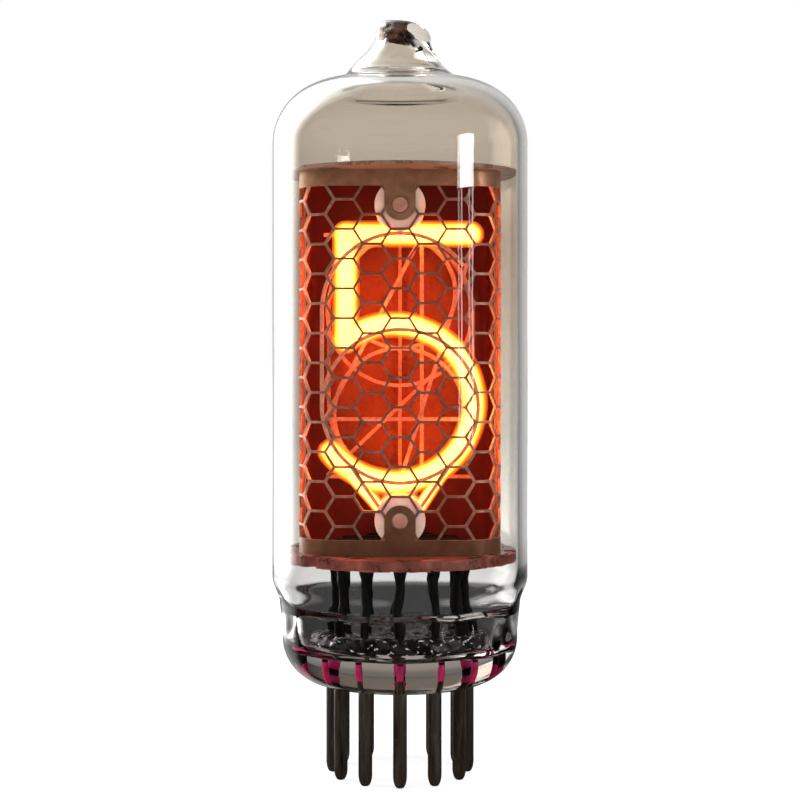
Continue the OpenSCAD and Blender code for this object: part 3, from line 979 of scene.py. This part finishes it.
@dataclass
class Envelope(Assembly):
    """Bulb and stem, fused into one closed glass body."""

    around: int = 160
    pin_len: float = 10.2
    stem_floor: float = 4.0
    stem_edge_r: float = 5.0
    rim_wall: float = 1.6
    fillet_r: float = 1.2
    neck_in: float = 1.15
    seam_z: float = 16.2
    skirt_z: float = 19.0
    skirt_flare: float = 0.3
    body_z: float = 22.0
    foot_round: float = 0.9
    wall: float = 1.0
    shoulder_z: float = 70.1
    shoulder_r: float = 7.0
    shoulder_end: float = 84.0
    cone_h: float = 4.7
    cone_pull: float = 0.27
    cone_lift: float = 0.32
    tip_r: float = 3.1
    tip_round: float = 1.5
    tip_lean: float = 0.15
    lean_edge: float = -2.0
    lean_rise: float = 3.0
    tip_shift: float = 0.4
    shift_rise: float = 2.0
    shift_end: float = 1.0
    bore_r: float = 1.35
    bore_shift: float = -0.55
    bore_cap: float = 0.6
    ridge_r: float = 4.4
    ridge_w: float = 0.45
    ridge_h: float = 0.3
    ridge_tilt: float = 0.8
    soot_z: float = 81.3
    swell: float = 0.5
    swell_z: float = 79.1
    swell_h: float = 1.3
    swell_x: float = 4.0
    broad_wave: Span = (11.0, 0.04)
    tip_wave: Span = (2.6, 0.09)
    worked_below: float = 1.0
    fused_wave: Span = (4.2, 0.3)
    fused_from: Span = (13.0, 15.0)
    fused_to: Span = (19.5, 22.0)
    fused_r: Span = (8.6, 11.0)
    frit_r: float = 9.7
    frit_gap: float = 0.12
    frit_h: float = 2.2
    frit_round: float = 0.5
    frit_bevel: float = 0.3
    frit_crown: float = 0.2
    frit_rise: Span = (0.1, 0.3)
    frit_waves: tuple[Span, Span] = ((0.9, 0.22), (3.1, 0.2))
    frit_around: int = 220
    bulb_r: float = field(init=False)
    top_z: float = field(init=False)

    def __post_init__(self) -> None:
        """Takes the bulb's radius and top from the frame."""
        _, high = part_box("glass_bulb")
        self.bulb_r = high.x / MM
        self.top_z = high.z / MM

    @property
    def stem_r(self) -> float:
        """Outside radius of the stem."""
        return self.bulb_r - self.neck_in

    @property
    def dome_z(self) -> float:
        """Height at which the shoulder would meet the axis side of its arc."""
        return self.shoulder_z + self.shoulder_r

    def flare(self, wide: Point, narrow: Point) -> list[Point]:
        """The concave stretch between the shoulder and the tip.

        Args:
            wide: Its lower, wide point.
            narrow: Its upper, narrow point.

        Returns:
            Points along it.
        """
        knee = (
            narrow[0] + self.cone_pull * (wide[0] - narrow[0]),
            wide[1] + self.cone_lift * (narrow[1] - wide[1]),
        )
        return curve_through(wide, knee, narrow, 24)[1:]

    def outside(self) -> list[Point]:
        """Profile of the outer skin, from the middle of the underside to the top of the tip.

        Returns:
            Radius and height of each point.
        """
        edge_in = self.stem_r - self.stem_edge_r
        hub = self.bulb_r - self.shoulder_r
        cone_z = self.dome_z + self.cone_h
        return [
            *straight((0, self.pin_len), (edge_in, self.pin_len), 10)[:-1],
            *arc((edge_in, self.pin_len + self.stem_edge_r), self.stem_edge_r, -90, 0, 18),
            *straight((self.stem_r, self.seam_z), (self.stem_r + self.skirt_flare, self.skirt_z), 6)[:-1],
            *straight((self.stem_r + self.skirt_flare, self.skirt_z), (self.bulb_r, self.body_z), 12, soft=True)[:-1],
            *straight((self.bulb_r, self.body_z), (self.bulb_r, self.shoulder_z), 30)[:-1],
            *arc((hub, self.shoulder_z), self.shoulder_r, 0, self.shoulder_end, 24),
            *self.flare((hub, self.dome_z), (self.tip_r, cone_z)),
            *arc((self.tip_r - self.tip_round, self.top_z - self.tip_round), self.tip_round, 0, 90, 10),
            *straight((self.tip_r - self.tip_round, self.top_z), (0, self.top_z), 4)[1:],
        ]

    def inside(self) -> list[Point]:
        """Profile of the cavity, from the closed end of the bore down to the middle of the stem's floor.

        Returns:
            Radius and height of each point.
        """
        hub = self.bulb_r - self.shoulder_r
        inner_r = self.bulb_r - self.wall
        bore_end = self.top_z - self.bore_cap
        foot_r = self.stem_r - self.rim_wall
        floor_z = self.pin_len + self.stem_floor
        dome = (hub, self.dome_z - self.wall)
        funnel = self.flare(dome, (self.bore_r, self.dome_z + self.cone_h))
        return [
            *arc((0, bore_end - self.bore_r), self.bore_r, 90, 0, 8),
            *reversed(funnel),
            *arc((hub, self.shoulder_z), self.shoulder_r - self.wall, self.shoulder_end, 0, 24),
            *straight((inner_r, self.shoulder_z), (inner_r, self.body_z), 30)[1:],
            *straight((inner_r, self.body_z), (foot_r + self.foot_round, self.skirt_z), 6)[1:-1],
            *arc((foot_r + self.foot_round, self.skirt_z - self.foot_round), self.foot_round, 90, 180, 8),
            *straight((foot_r, self.skirt_z - self.foot_round), (foot_r, floor_z + self.fillet_r), 6)[1:-1],
            *arc((foot_r - self.fillet_r, floor_z + self.fillet_r), self.fillet_r, 0, -90, 8),
            *straight((foot_r - self.fillet_r, floor_z), (0, floor_z), 44)[1:],
        ]

    def shift(self, place: Vector, inner: bool) -> Vector:
        """How far hand-worked glass departs from the turned form at one point.

        Args:
            place: The point, in millimetres.
            inner: True on the cavity's side.

        Returns:
            The shift, in millimetres.
        """
        tip = smoothstep(self.dome_z - self.worked_below, self.top_z, place.z)
        found = waves(place, self.broad_wave) + waves(place, self.tip_wave) * tip
        slope = -self.tip_lean * (place.x - self.lean_edge)
        slope *= smoothstep(self.dome_z + self.lean_rise, self.top_z, place.z)
        aside = self.tip_shift + (self.bore_shift if inner else 0.0)
        aside *= smoothstep(self.dome_z + self.shift_rise, self.top_z - self.shift_end, place.z)
        found += Vector((aside, 0, min(slope, 0.0)))
        left = smoothstep(0.0, self.swell_x, -place.x) * bell(place.z - self.swell_z, self.swell_h)
        found += Vector((-self.swell * left, 0, 0))
        if inner:
            out = math.hypot(place.x, place.y)
            fused = smoothstep(*self.fused_from, place.z) * (1 - smoothstep(*self.fused_to, place.z))
            found += waves(place, self.fused_wave) * fused * smoothstep(*self.fused_r, out)
            if place.z > self.shoulder_z:
                ring = bell(out - self.ridge_r, self.ridge_w)
                found += Vector((0, 0, -self.ridge_h * ring * (1 + self.ridge_tilt * place.x / self.ridge_r)))
        return found

    def frit(self) -> Piece:
        """Builds the dark frit, with painted glints, that lies on the floor of the stem round the leads.

        Returns:
            The piece.
        """
        base = self.pin_len + self.stem_floor + self.frit_gap
        top = base + self.frit_h
        low, high = self.frit_rise
        edge = self.frit_r - self.frit_bevel
        profile = [
            *straight((0, base), (edge, base), 24),
            *arc((self.frit_r - self.frit_round, base + self.frit_round), self.frit_round, -45, 0, 3),
            *straight((self.frit_r, base + self.frit_round), (edge, top - self.frit_crown), 6)[1:],
            *straight((edge - self.frit_bevel, top), (0, top), 46),
        ]
        bm = spun(profile, self.frit_around)
        for vert in bm.verts:
            fine, coarse = (waves(vert.co, wave) for wave in self.frit_waves)
            vert.co += (fine + coarse) * smoothstep(base + low, top - high, vert.co.z)
        return self.piece("stem_frit", bm, (STEM_FRIT,), Slot.STEM, sharp=35)

    def build(self) -> list[Piece]:
        """Builds the glass body with its cavity and sooty tip, and the frit on its floor.

        Returns:
            The pieces that now show.
        """
        bm = spun(self.outside(), self.around)
        cavity = spun(self.inside(), self.around)
        bmesh.ops.reverse_faces(cavity, faces=cavity.faces)
        for skin, inner in ((bm, False), (cavity, True)):
            for vert in skin.verts:
                vert.co += self.shift(vert.co.copy(), inner)
        for face in cavity.faces:
            face.material_index = int(face.calc_center_median().z > self.soot_z)
        holder = block("cavity_skin", cavity)
        bm.from_mesh(holder)
        bpy.data.meshes.remove(holder)
        made = self.piece(
            "glass_envelope",
            bm,
            (BULB_GLASS, TIP_SOOT),
            Slot.BULB,
            ("glass_bulb", "glass_stem"),
            sharp=180,
        )
        return [made, self.frit()]


@dataclass
class Base(Assembly):
    """Pins below the glass, red seals inside it and dark leads above it."""

    pin_circle: float = 7.5
    hole_circle: float = 7.25
    pin_root_r: float = 0.575
    tip_len: float = 1.3
    tip_flat: float = 0.25
    root_len: float = 1.3
    root_creep: float = 1.35
    root_from: float = 0.1
    root_taper: float = 0.5
    edge_below: float = 0.15
    edge_above: float = 0.02
    edge_in: float = 0.05
    seal_r: float = 0.3
    seal_swell: float = 0.06
    lead_r: float = 0.5
    foot_z: Span = (14.3, 15.4)
    jog_z: Span = (18.2, 20.2)
    flare_z: Span = (21.8, 23.9)
    flare: float = 0.3
    plain_z: Span = (23.9, 24.0)
    rough: float = 0.13
    lump_from: Span = (14.5, 16.0)
    lump_draw: Triple = (3.1, 2.0, 1.3)
    loose_from: Span = (14.5, 17.0)
    loose_to: Span = (22.5, 24.0)
    wander: Span = (2.2, 0.16)
    wander_draw: float = 7.3
    elbow_min: float = 2.5
    lead_steps: int = 40
    feed_steps: int = 12

    def pin(self, index: int) -> Piece:
        """One turned pin.

        Args:
            index: Its number, from 1.

        Returns:
            The piece.
        """
        name = f"pin_{index:02d}"
        low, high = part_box(name)
        pin_r = (high.x - low.x) / 2 / MM
        glass_z = high.z / MM - self.root_len
        end_z = high.z / MM + self.root_creep
        turns = [math.pi / 2 * t for t in shares(10)]
        tip = [(within((self.tip_flat, pin_r), math.sin(t)), self.tip_len * (1 - math.cos(t))) for t in turns]
        root, waist = (self.pin_root_r, glass_z + self.root_from), (self.seal_r, glass_z + self.root_taper)
        profile = [
            (0, low.z / MM),
            *tip,
            *straight((pin_r, self.tip_len), (pin_r, glass_z - self.edge_below), 8)[1:],
            (pin_r - self.edge_in, glass_z + self.edge_above),
            *straight(root, waist, 8, soft=True),
            *straight(waist, (self.seal_r, end_z), 4)[1:],
            (0, end_z),
        ]
        bm = spun(profile, 28, pin_place(index, self.pin_circle))
        return self.piece(f"base_{name}", bm, (PIN_METAL,), Slot.PIN, (name,))

    def seal(self, index: int) -> Piece:
        """One red seal, a little swollen in its middle.

        Args:
            index: Its number, from 1.

        Returns:
            The piece.
        """
        name = f"seal_{index:02d}"
        low, high = (corner.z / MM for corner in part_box(name))
        low += self.root_creep
        sides = [
            (self.seal_r + self.seal_swell * math.sin(math.pi * t), within((low, high), t)) for t in shares(8)
        ]
        bm = spun([(0, low), *sides, (0, high)], 24, pin_place(index, self.pin_circle))
        return self.piece(f"glass_{name}", bm, (SEAL_METAL,), Slot.SEAL, (name,))

    def lead(self, index: int) -> Piece:
        """One lead with the uneven thickness of a welded wire.

        Args:
            index: Its number, from 1.

        Returns:
            The piece.
        """
        name = f"lead_{index:02d}"
        low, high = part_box(name)
        foot = Vector((*pin_place(index, self.pin_circle), 0))
        hole = Vector((*pin_place(index, self.hole_circle), 0))
        ends = (low.z / MM, high.z / MM - self.lead_r)
        runs = max(high.x - low.x, high.y - low.y) / MM > self.elbow_min
        heights = [within(ends, t) for t in shares(self.lead_steps)]
        size, reach = self.wander
        path = []
        for z in heights:
            across = foot.lerp(hole, smoothstep(*self.jog_z, z))
            loose = smoothstep(*self.loose_from, z) * (1 - smoothstep(*self.loose_to, z))
            stray = noise.noise_vector(Vector((index * self.wander_draw, 0, z / size))) * reach * loose
            path.append(Vector((across.x + stray.x, across.y + stray.y, z)))
        radii = [self.thickness(index, z) for z in heights]
        if runs:
            elbow, end = path[-1], self.feed_end(index, low, high)
            path += [elbow.lerp(end, t) for t in shares(self.feed_steps)[1:]]
            radii += [self.lead_r] * self.feed_steps
        bm = bmesh.new()
        swept(bm, path, radii, 16)
        bmesh.ops.recalc_face_normals(bm, faces=bm.faces)
        return self.piece(f"wire_{name}", bm, (LEAD_METAL,), Slot.LEAD, (name,), sharp=60)

    def feed_end(self, index: int, low: Vector, high: Vector) -> Vector:
        """Where a lead meets the tail that it feeds.

        Args:
            index: Number of the lead.
            low: Lowest corner of its CAD node.
            high: Highest corner of it.

        Returns:
            The end point, in millimetres.
        """
        x, y = pin_place(index, self.hole_circle)
        inner = high.x if x < 0 else low.x
        far = (high.y if y < 0 else low.y) / MM
        along = far - math.copysign(self.lead_r, -y) if abs(far) < abs(y) else y
        return Vector((inner / MM, along, high.z / MM - self.lead_r))

    def thickness(self, index: int, z: float) -> float:
        """Radius of a lead at one height.

        Args:
            index: Number of the lead.
            z: The height, in millimetres.

        Returns:
            The radius, in millimetres.
        """
        turn, row, size = self.lump_draw
        lumps = noise.noise(Vector((index * turn, row, z / size))) * self.rough * smoothstep(*self.lump_from, z)
        plain = 1 - smoothstep(*self.plain_z, z)
        top = smoothstep(*self.flare_z, z) * plain * self.flare
        foot = (self.seal_r - self.lead_r) * (1 - smoothstep(*self.foot_z, z))
        return self.lead_r + foot + (lumps + top) * plain

    def build(self) -> list[Piece]:
        """Builds all pins, seals and leads."""
        numbers = range(1, PIN_COUNT + 1)
        return [make(i) for make in (self.pin, self.seal, self.lead) for i in numbers]


@dataclass
class Cage(Assembly):
    """Honeycomb anode, rear shield and the two mica discs with their split edges."""

    flakes_below: int = 22
    flakes_above: int = 9
    flake_t: float = 0.14
    flake_span: Span = (9.0, 26.0)
    flake_outer: Span = (12.5, 13.0)
    flake_inner: Span = (11.4, 12.0)
    flake_warp: float = 0.1
    flake_steps: int = 8
    flake_sink: float = 0.02
    shape_draw: float = 5.7
    span_draw: Span = (0.0, 1.5)
    inner_draw: Span = (6.6, 1.5)
    edge_draw: Span = (0.9, 4.0)
    warp_draw: float = 0.8
    jitter: float = 200.0
    jitter_draw: Triple = (2.1, 9.0, 0.5)
    row_draw: float = 31.0

    def flake(self, bm: Mesh, angle: float, seed: float, level: float) -> None:
        """Adds one thin split-off leaf of mica at the rim.

        Args:
            bm: Mesh that takes the leaf.
            angle: Where its middle lies, in degrees.
            seed: Number that gives it a shape of its own.
            level: Height of its underside, in millimetres.
        """
        span = within(self.flake_span, chance(seed * self.shape_draw, *self.span_draw))
        inner = within(self.flake_inner, chance(seed * self.shape_draw, *self.inner_draw))
        step, row = self.edge_draw
        angles = [angle + span * (t - 0.5) for t in shares(self.flake_steps)]
        reaches = [within(self.flake_outer, chance(seed, k * step, row)) for k in range(len(angles))]
        outline = [polar(reach, turn) for reach, turn in zip(reaches, angles)]
        outline += [polar(inner, turn) for turn in reversed(angles)]
        leaf = bm.faces.new([bm.verts.new((x, y, level)) for x, y in outline])
        raised = bmesh.ops.extrude_face_region(bm, geom=[leaf], use_keep_orig=True)["geom"]
        top = [g for g in raised if isinstance(g, bmesh.types.BMVert)]
        bmesh.ops.translate(bm, vec=(0, 0, self.flake_t), verts=top)
        for vert in (*leaf.verts, *top):
            edge = smoothstep(inner, self.flake_outer[1], math.hypot(vert.co.x, vert.co.y))
            vert.co.z += noise.noise(Vector((vert.co.x, vert.co.y, seed)) * self.warp_draw) * self.flake_warp * edge

    def flakes(self) -> Piece:
        """Builds the split leaves on both faces of the lower disc.

        Returns:
            The piece.
        """
        low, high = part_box("bottom_mica")
        bm = bmesh.new()
        step, shift, level = self.jitter_draw
        under, over = low.z / MM - self.flake_t + self.flake_sink, high.z / MM - self.flake_sink
        for row, (count, z) in enumerate(((self.flakes_below, under), (self.flakes_above, over))):
            for k in range(count):
                jitter = noise.noise(Vector((k * step, row * shift, level))) * self.jitter / count
                self.flake(bm, 360 * k / count + jitter, k + row * self.row_draw, z)
        bmesh.ops.recalc_face_normals(bm, faces=bm.faces)
        return self.piece("mica_flakes", bm, (MICA_FLAKE,), Slot.MICA, sharp=30)

    def build(self) -> list[Piece]:
        """Dresses the cage's sheets and discs and adds the split edges.

        Returns:
            The pieces that now show.
        """
        return [
            self.dress("anode_grid", ANODE_METAL),
            self.dress("rear_shield", SHIELD_METAL),
            self.dress("bottom_mica", MICA_BELOW),
            self.dress("top_mica", MICA_ABOVE),
            self.flakes(),
        ]


@dataclass
class Stack(Assembly):
    """Rods, ceramic spacers and the ten cathodes."""

    # Cathode that takes the lighter, painted-light copy of the cathode metal.
    front: int = 6

    def build(self) -> list[Piece]:
        """Dresses the stack.

        Returns:
            The pieces that now show.
        """
        shown = [self.dress(f"{side}_rod", ROD_CERAMIC) for side in ("lower", "upper")]
        shown += [self.dress(f"{side}_spacers", WHITE_CERAMIC) for side in ("lower", "upper")]
        finishes = [CATHODE_GLOW_LIT if n == self.front else CATHODE_METAL for n in range(10)]
        return shown + [self.dress(f"cathode_{n}", finish) for n, finish in enumerate(finishes)]


@dataclass
class LitNumeral(Assembly):
    """The glow round the strokes of the five."""

    top_v: float = 14.0
    right_x: float = 7.6
    bowl_r: float = 8.6
    bowl_centre: Point = (-0.65, -4.4)
    bowl_angles: Span = (127.0, -142.0)
    strut_angle: float = -38.0
    eye_x: float = 1.725
    eye_v: float = -16.375
    core_r: float = 0.75
    strut_share: float = 0.52
    flatness: float = 0.75
    sides: int = 16
    caps: tuple[Span, ...] = ((0.95, 0.3), (0.75, 0.66), (0.4, 0.92))

    def strokes(self) -> list[tuple[list[Point], float]]:
        """Middle lines of the glowing strokes, measured from the middle of the cage.

        Returns:
            The points of each stroke and its share of the glow's width.
        """
        bowl = arc(self.bowl_centre, self.bowl_r, *self.bowl_angles, steps=56)
        corner = (bowl[0][0], self.top_v)
        right = arc(self.bowl_centre, self.bowl_r, self.strut_angle, self.strut_angle, 1)[0]
        return [
            (straight(corner, (self.right_x, self.top_v), 20), 1.0),
            (straight(corner, bowl[0], 20), 1.0),
            (bowl, 1.0),
            (straight(bowl[-1], (-self.eye_x, self.eye_v), 10), self.strut_share),
            (straight(right, (self.eye_x, self.eye_v), 8), self.strut_share),
        ]

    def sheath(self, radius: float, bm: Mesh) -> None:
        """Adds a tube of one radius round every stroke, rounded at its ends.

        Args:
            radius: The tube's radius.
            bm: Mesh that takes the tubes.
        """
        centre = middle("cathode_5")
        shield = middle("rear_shield")
        for stroke, share in self.strokes():
            girth = radius * share
            path = [Vector((x, centre.y, shield.z + v)) for x, v in stroke]
            first, last = (path[0] - path[1]).normalized(), (path[-1] - path[-2]).normalized()
            head = [path[0] + first * girth * reach for reach, _ in self.caps]
            tail = [path[-1] + last * girth * reach for reach, _ in reversed(self.caps)]
            taper = [girth * width for _, width in self.caps]
            swept(bm, [*head, *path, *tail], [*taper, *[girth] * len(path), *reversed(taper)], self.sides)
        bmesh.ops.recalc_face_normals(bm, faces=bm.faces)
        plane = Matrix.Translation((0, -centre.y, 0))
        bmesh.ops.scale(bm, vec=(1, self.flatness, 1), space=plane, verts=bm.verts)

    def build(self) -> list[Piece]:
        """Builds the bright core and the thin shells of the halo.

        Returns:
            The pieces that now show.
        """
        made = []
        for radius, finish in ((self.core_r, GLOW_CORE), *GLOW_LAYERS):
            bm = bmesh.new()
            self.sheath(radius, bm)
            made.append(self.piece(f"{finish.name}_five", bm, (finish,), Slot.LIT))
        for layer in made[1:]:
            layer.visible_diffuse = False
        return made


@dataclass
class SoftBox:
    """A rectangular studio lamp, with its sizes in metres and its bearing counted from the camera towards +X."""

    name: str
    bearing: float
    height: float
    width: float
    tall: float
    power: float
    distance: float = 0.5
    mirrored: bool = True

    def build(self, aim_z: float) -> Piece:
        """Hangs the lamp and turns it towards the tube.

        Args:
            aim_z: Height that it points at, in metres.

        Returns:
            The lamp.
        """
        data = bpy.data.lights.new(self.name, "AREA")
        data.shape = "RECTANGLE"
        data.size, data.size_y = self.width, self.tall
        data.energy = self.power
        lamp = placed(self.name, data)
        turn = math.radians(self.bearing)
        lamp.location = (math.sin(turn) * self.distance, -math.cos(turn) * self.distance, self.height)
        away = lamp.location - Vector((0, 0, aim_z))
        lamp.rotation_euler = away.to_track_quat("Z", "Y").to_euler()
        lamp.visible_glossy = lamp.visible_transmission = self.mirrored
        return lamp


@dataclass
class Studio:
    """Floor, white background, lamps and the camera."""

    camera_distance: float = 190.4
    camera_z: float = 46.6
    lens: float = 76.5
    sensor: float = 36.0
    shift_y: float = -0.0564
    floor_r: float = 4.0
    floor_sides: int = 96
    floor_drop: float = 0.02
    floor_white: float = 0.8
    floor_share: float = 0.35
    floor_light: float = 0.8
    ambient: float = 0.95
    front_dark: float = 0.02
    window_turn: float = 132.0
    window_edge: Span = (0.9, 0.985)
    window_light: float = 5.0
    window_top: Span = (0.6, 0.95)
    window_spread: float = 0.16
    rear_turn: float = 170.0
    rear_edge: Span = (0.4, 1.0)
    rear_light: float = 0.75
    painted_shadow_reach: Span = (0.07, 0.26)
    painted_shadow_level: float = 0.12
    lamps: tuple[SoftBox, ...] = (
        SoftBox("window_left", bearing=-104.0, height=0.12, width=0.4, tall=0.6, power=3.0, mirrored=False),
        SoftBox("window_right", bearing=61.0, height=0.126, width=0.12, tall=0.03, power=0.2),
        SoftBox("window_edge_near", bearing=55.5, height=0.06, width=0.012, tall=0.1, power=0.03),
        SoftBox("window_edge_far", bearing=66.5, height=0.06, width=0.012, tall=0.1, power=0.03),
    )

    def camera(self) -> None:
        """Stands the camera where the photograph was taken from."""
        data = bpy.data.cameras.new("camera")
        data.lens = self.lens
        data.sensor_width = self.sensor
        data.shift_y = self.shift_y
        made = placed("camera", data)
        made.location = (0, -self.camera_distance * MM, self.camera_z * MM)
        made.rotation_euler = (math.pi / 2, 0, 0)
        bpy.context.scene.camera = made

    def mirrored(self, nodes: Nodes, direction: Socket) -> Socket:
        """Brightness of the room as polished surfaces show it: a soft window at the left, white behind, dark in front.

        Args:
            nodes: Tree that takes the nodes.
            direction: Direction from the tube into the room.

        Returns:
            The brightness.
        """
        level = nodes.vector("NORMALIZE", nodes.vector("MULTIPLY", direction, (1.0, 1.0, 0.0)))
        up = nodes.add("SeparateXYZ", Vector=direction).outputs["Z"]
        wider = nodes.join("MULTIPLY", nodes.join("MAXIMUM", up, 0.0), self.window_spread)
        glance = nodes.join("ADD", self.facing(nodes, level, self.window_turn), wider)
        shine = nodes.spread(glance, self.window_edge, (0.0, self.window_light), soft=True)
        below = nodes.spread(up, self.window_top, (1.0, 0.0))
        behind = self.facing(nodes, level, self.rear_turn)
        rear = nodes.spread(behind, self.rear_edge, (self.front_dark, self.rear_light), soft=True)
        return nodes.join("ADD", nodes.join("MULTIPLY", shine, below), rear)

    @staticmethod
    def facing(nodes: Nodes, level: Socket, degrees: float) -> Socket:
        """How nearly a level direction points to a bearing, which is counted from the camera towards the left."""
        turn = math.radians(degrees)
        return nodes.vector("DOT_PRODUCT", level, (-math.sin(turn), -math.cos(turn), 0.0))

    @staticmethod
    def straight_through(nodes: Nodes) -> Socket:
        """One for rays that reach the background through glass without being mirrored on the way.

        Args:
            nodes: Tree that takes the nodes.

        Returns:
            The number.
        """
        path = nodes.add("LightPath").outputs
        unmirrored = nodes.join("LESS_THAN", path["Glossy Depth"], 0.5)
        return nodes.join("MULTIPLY", path[Ray.TRANSMISSION.value], unmirrored)

    def floor(self) -> None:
        """Lays a white floor that keeps the tube's shadow, with a painted shadow round the tube where glass and
        polished surfaces show the floor.
        """
        bm = bmesh.new()
        bmesh.ops.create_circle(bm, cap_ends=True, segments=self.floor_sides, radius=self.floor_r)
        mesh = block("floor", bm)
        made = placed("floor", mesh)
        made.location.z = -self.floor_drop * MM
        paint = Paint("floor_white")
        plain = paint.add("BsdfDiffuse", Color=(self.floor_white,) * 3)
        seen = paint.add("AddShader")
        paint.feed(seen.inputs[0], paint.add("BsdfDiffuse", Color=(self.floor_share,) * 3).outputs[0])
        paint.feed(seen.inputs[1], paint.add("Emission", Strength=self.floor_light).outputs[0])
        # Painted shadow: glass and polished surfaces see the floor darker near the tube.
        spot = paint.add("TexCoord").outputs["Object"]
        painted_falloff = paint.spread(paint.vector("LENGTH", spot), self.painted_shadow_reach, (self.painted_shadow_level, 1.0))
        room = self.mirrored(paint, paint.vector("NORMALIZE", spot))
        mirrored = paint.add("Emission", Strength=paint.join("MULTIPLY", room, painted_falloff))
        shown = paint.mix(paint.rays(Ray.GLOSSY, Ray.TRANSMISSION), plain, mirrored)
        shown = paint.mix(self.straight_through(paint), shown, paint.add("Emission", Strength=1.0))
        mesh.materials.append(paint.done(paint.mix(paint.rays(Ray.CAMERA), shown, seen)))

    def world(self) -> None:
        """Fills the room with even light, white behind the tube and dim behind the camera."""
        world = bpy.data.worlds.new("room")
        bpy.context.scene.world = world
        world.use_nodes = True
        nodes = Nodes(world.node_tree)
        even = nodes.add("Background", Color=(1.0, 1.0, 1.0), Strength=self.ambient)
        white = nodes.add("Background", Color=(1.0, 1.0, 1.0), Strength=1.0)
        strength = self.mirrored(nodes, nodes.add("TexCoord").outputs["Generated"])
        mirrored = nodes.add("Background", Color=(1.0, 1.0, 1.0), Strength=strength)
        shown = nodes.mix(nodes.rays(Ray.GLOSSY, Ray.TRANSMISSION), even, mirrored)
        clear = nodes.join("MAXIMUM", nodes.rays(Ray.CAMERA), self.straight_through(nodes))
        nodes.add("OutputWorld", Surface=nodes.mix(clear, shown, white).outputs[0])

    def build(self) -> None:
        """Sets up the whole studio."""
        bpy.context.scene.view_settings.view_transform = "Standard"
        self.world()
        self.floor()
        for lamp in self.lamps:
            log.info("lamp %s", lamp.build(self.camera_z * MM).name)
        self.camera()


def main() -> None:
    """Loads the frame, builds every assembly on it and sets up the studio."""
    logging.basicConfig(level=logging.INFO, format="%(name)s: %(message)s")
    noise.seed_set(NOISE_SEED)
    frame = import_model()
    for kind in (Envelope, Base, Cage, Stack, LitNumeral):
        for made in kind(frame["nodes"]).build():
            log.info("%s: %s, %d faces", kind.__name__, made.name, len(made.data.polygons))
    Studio().build()


if __name__ == "__main__":
    main()
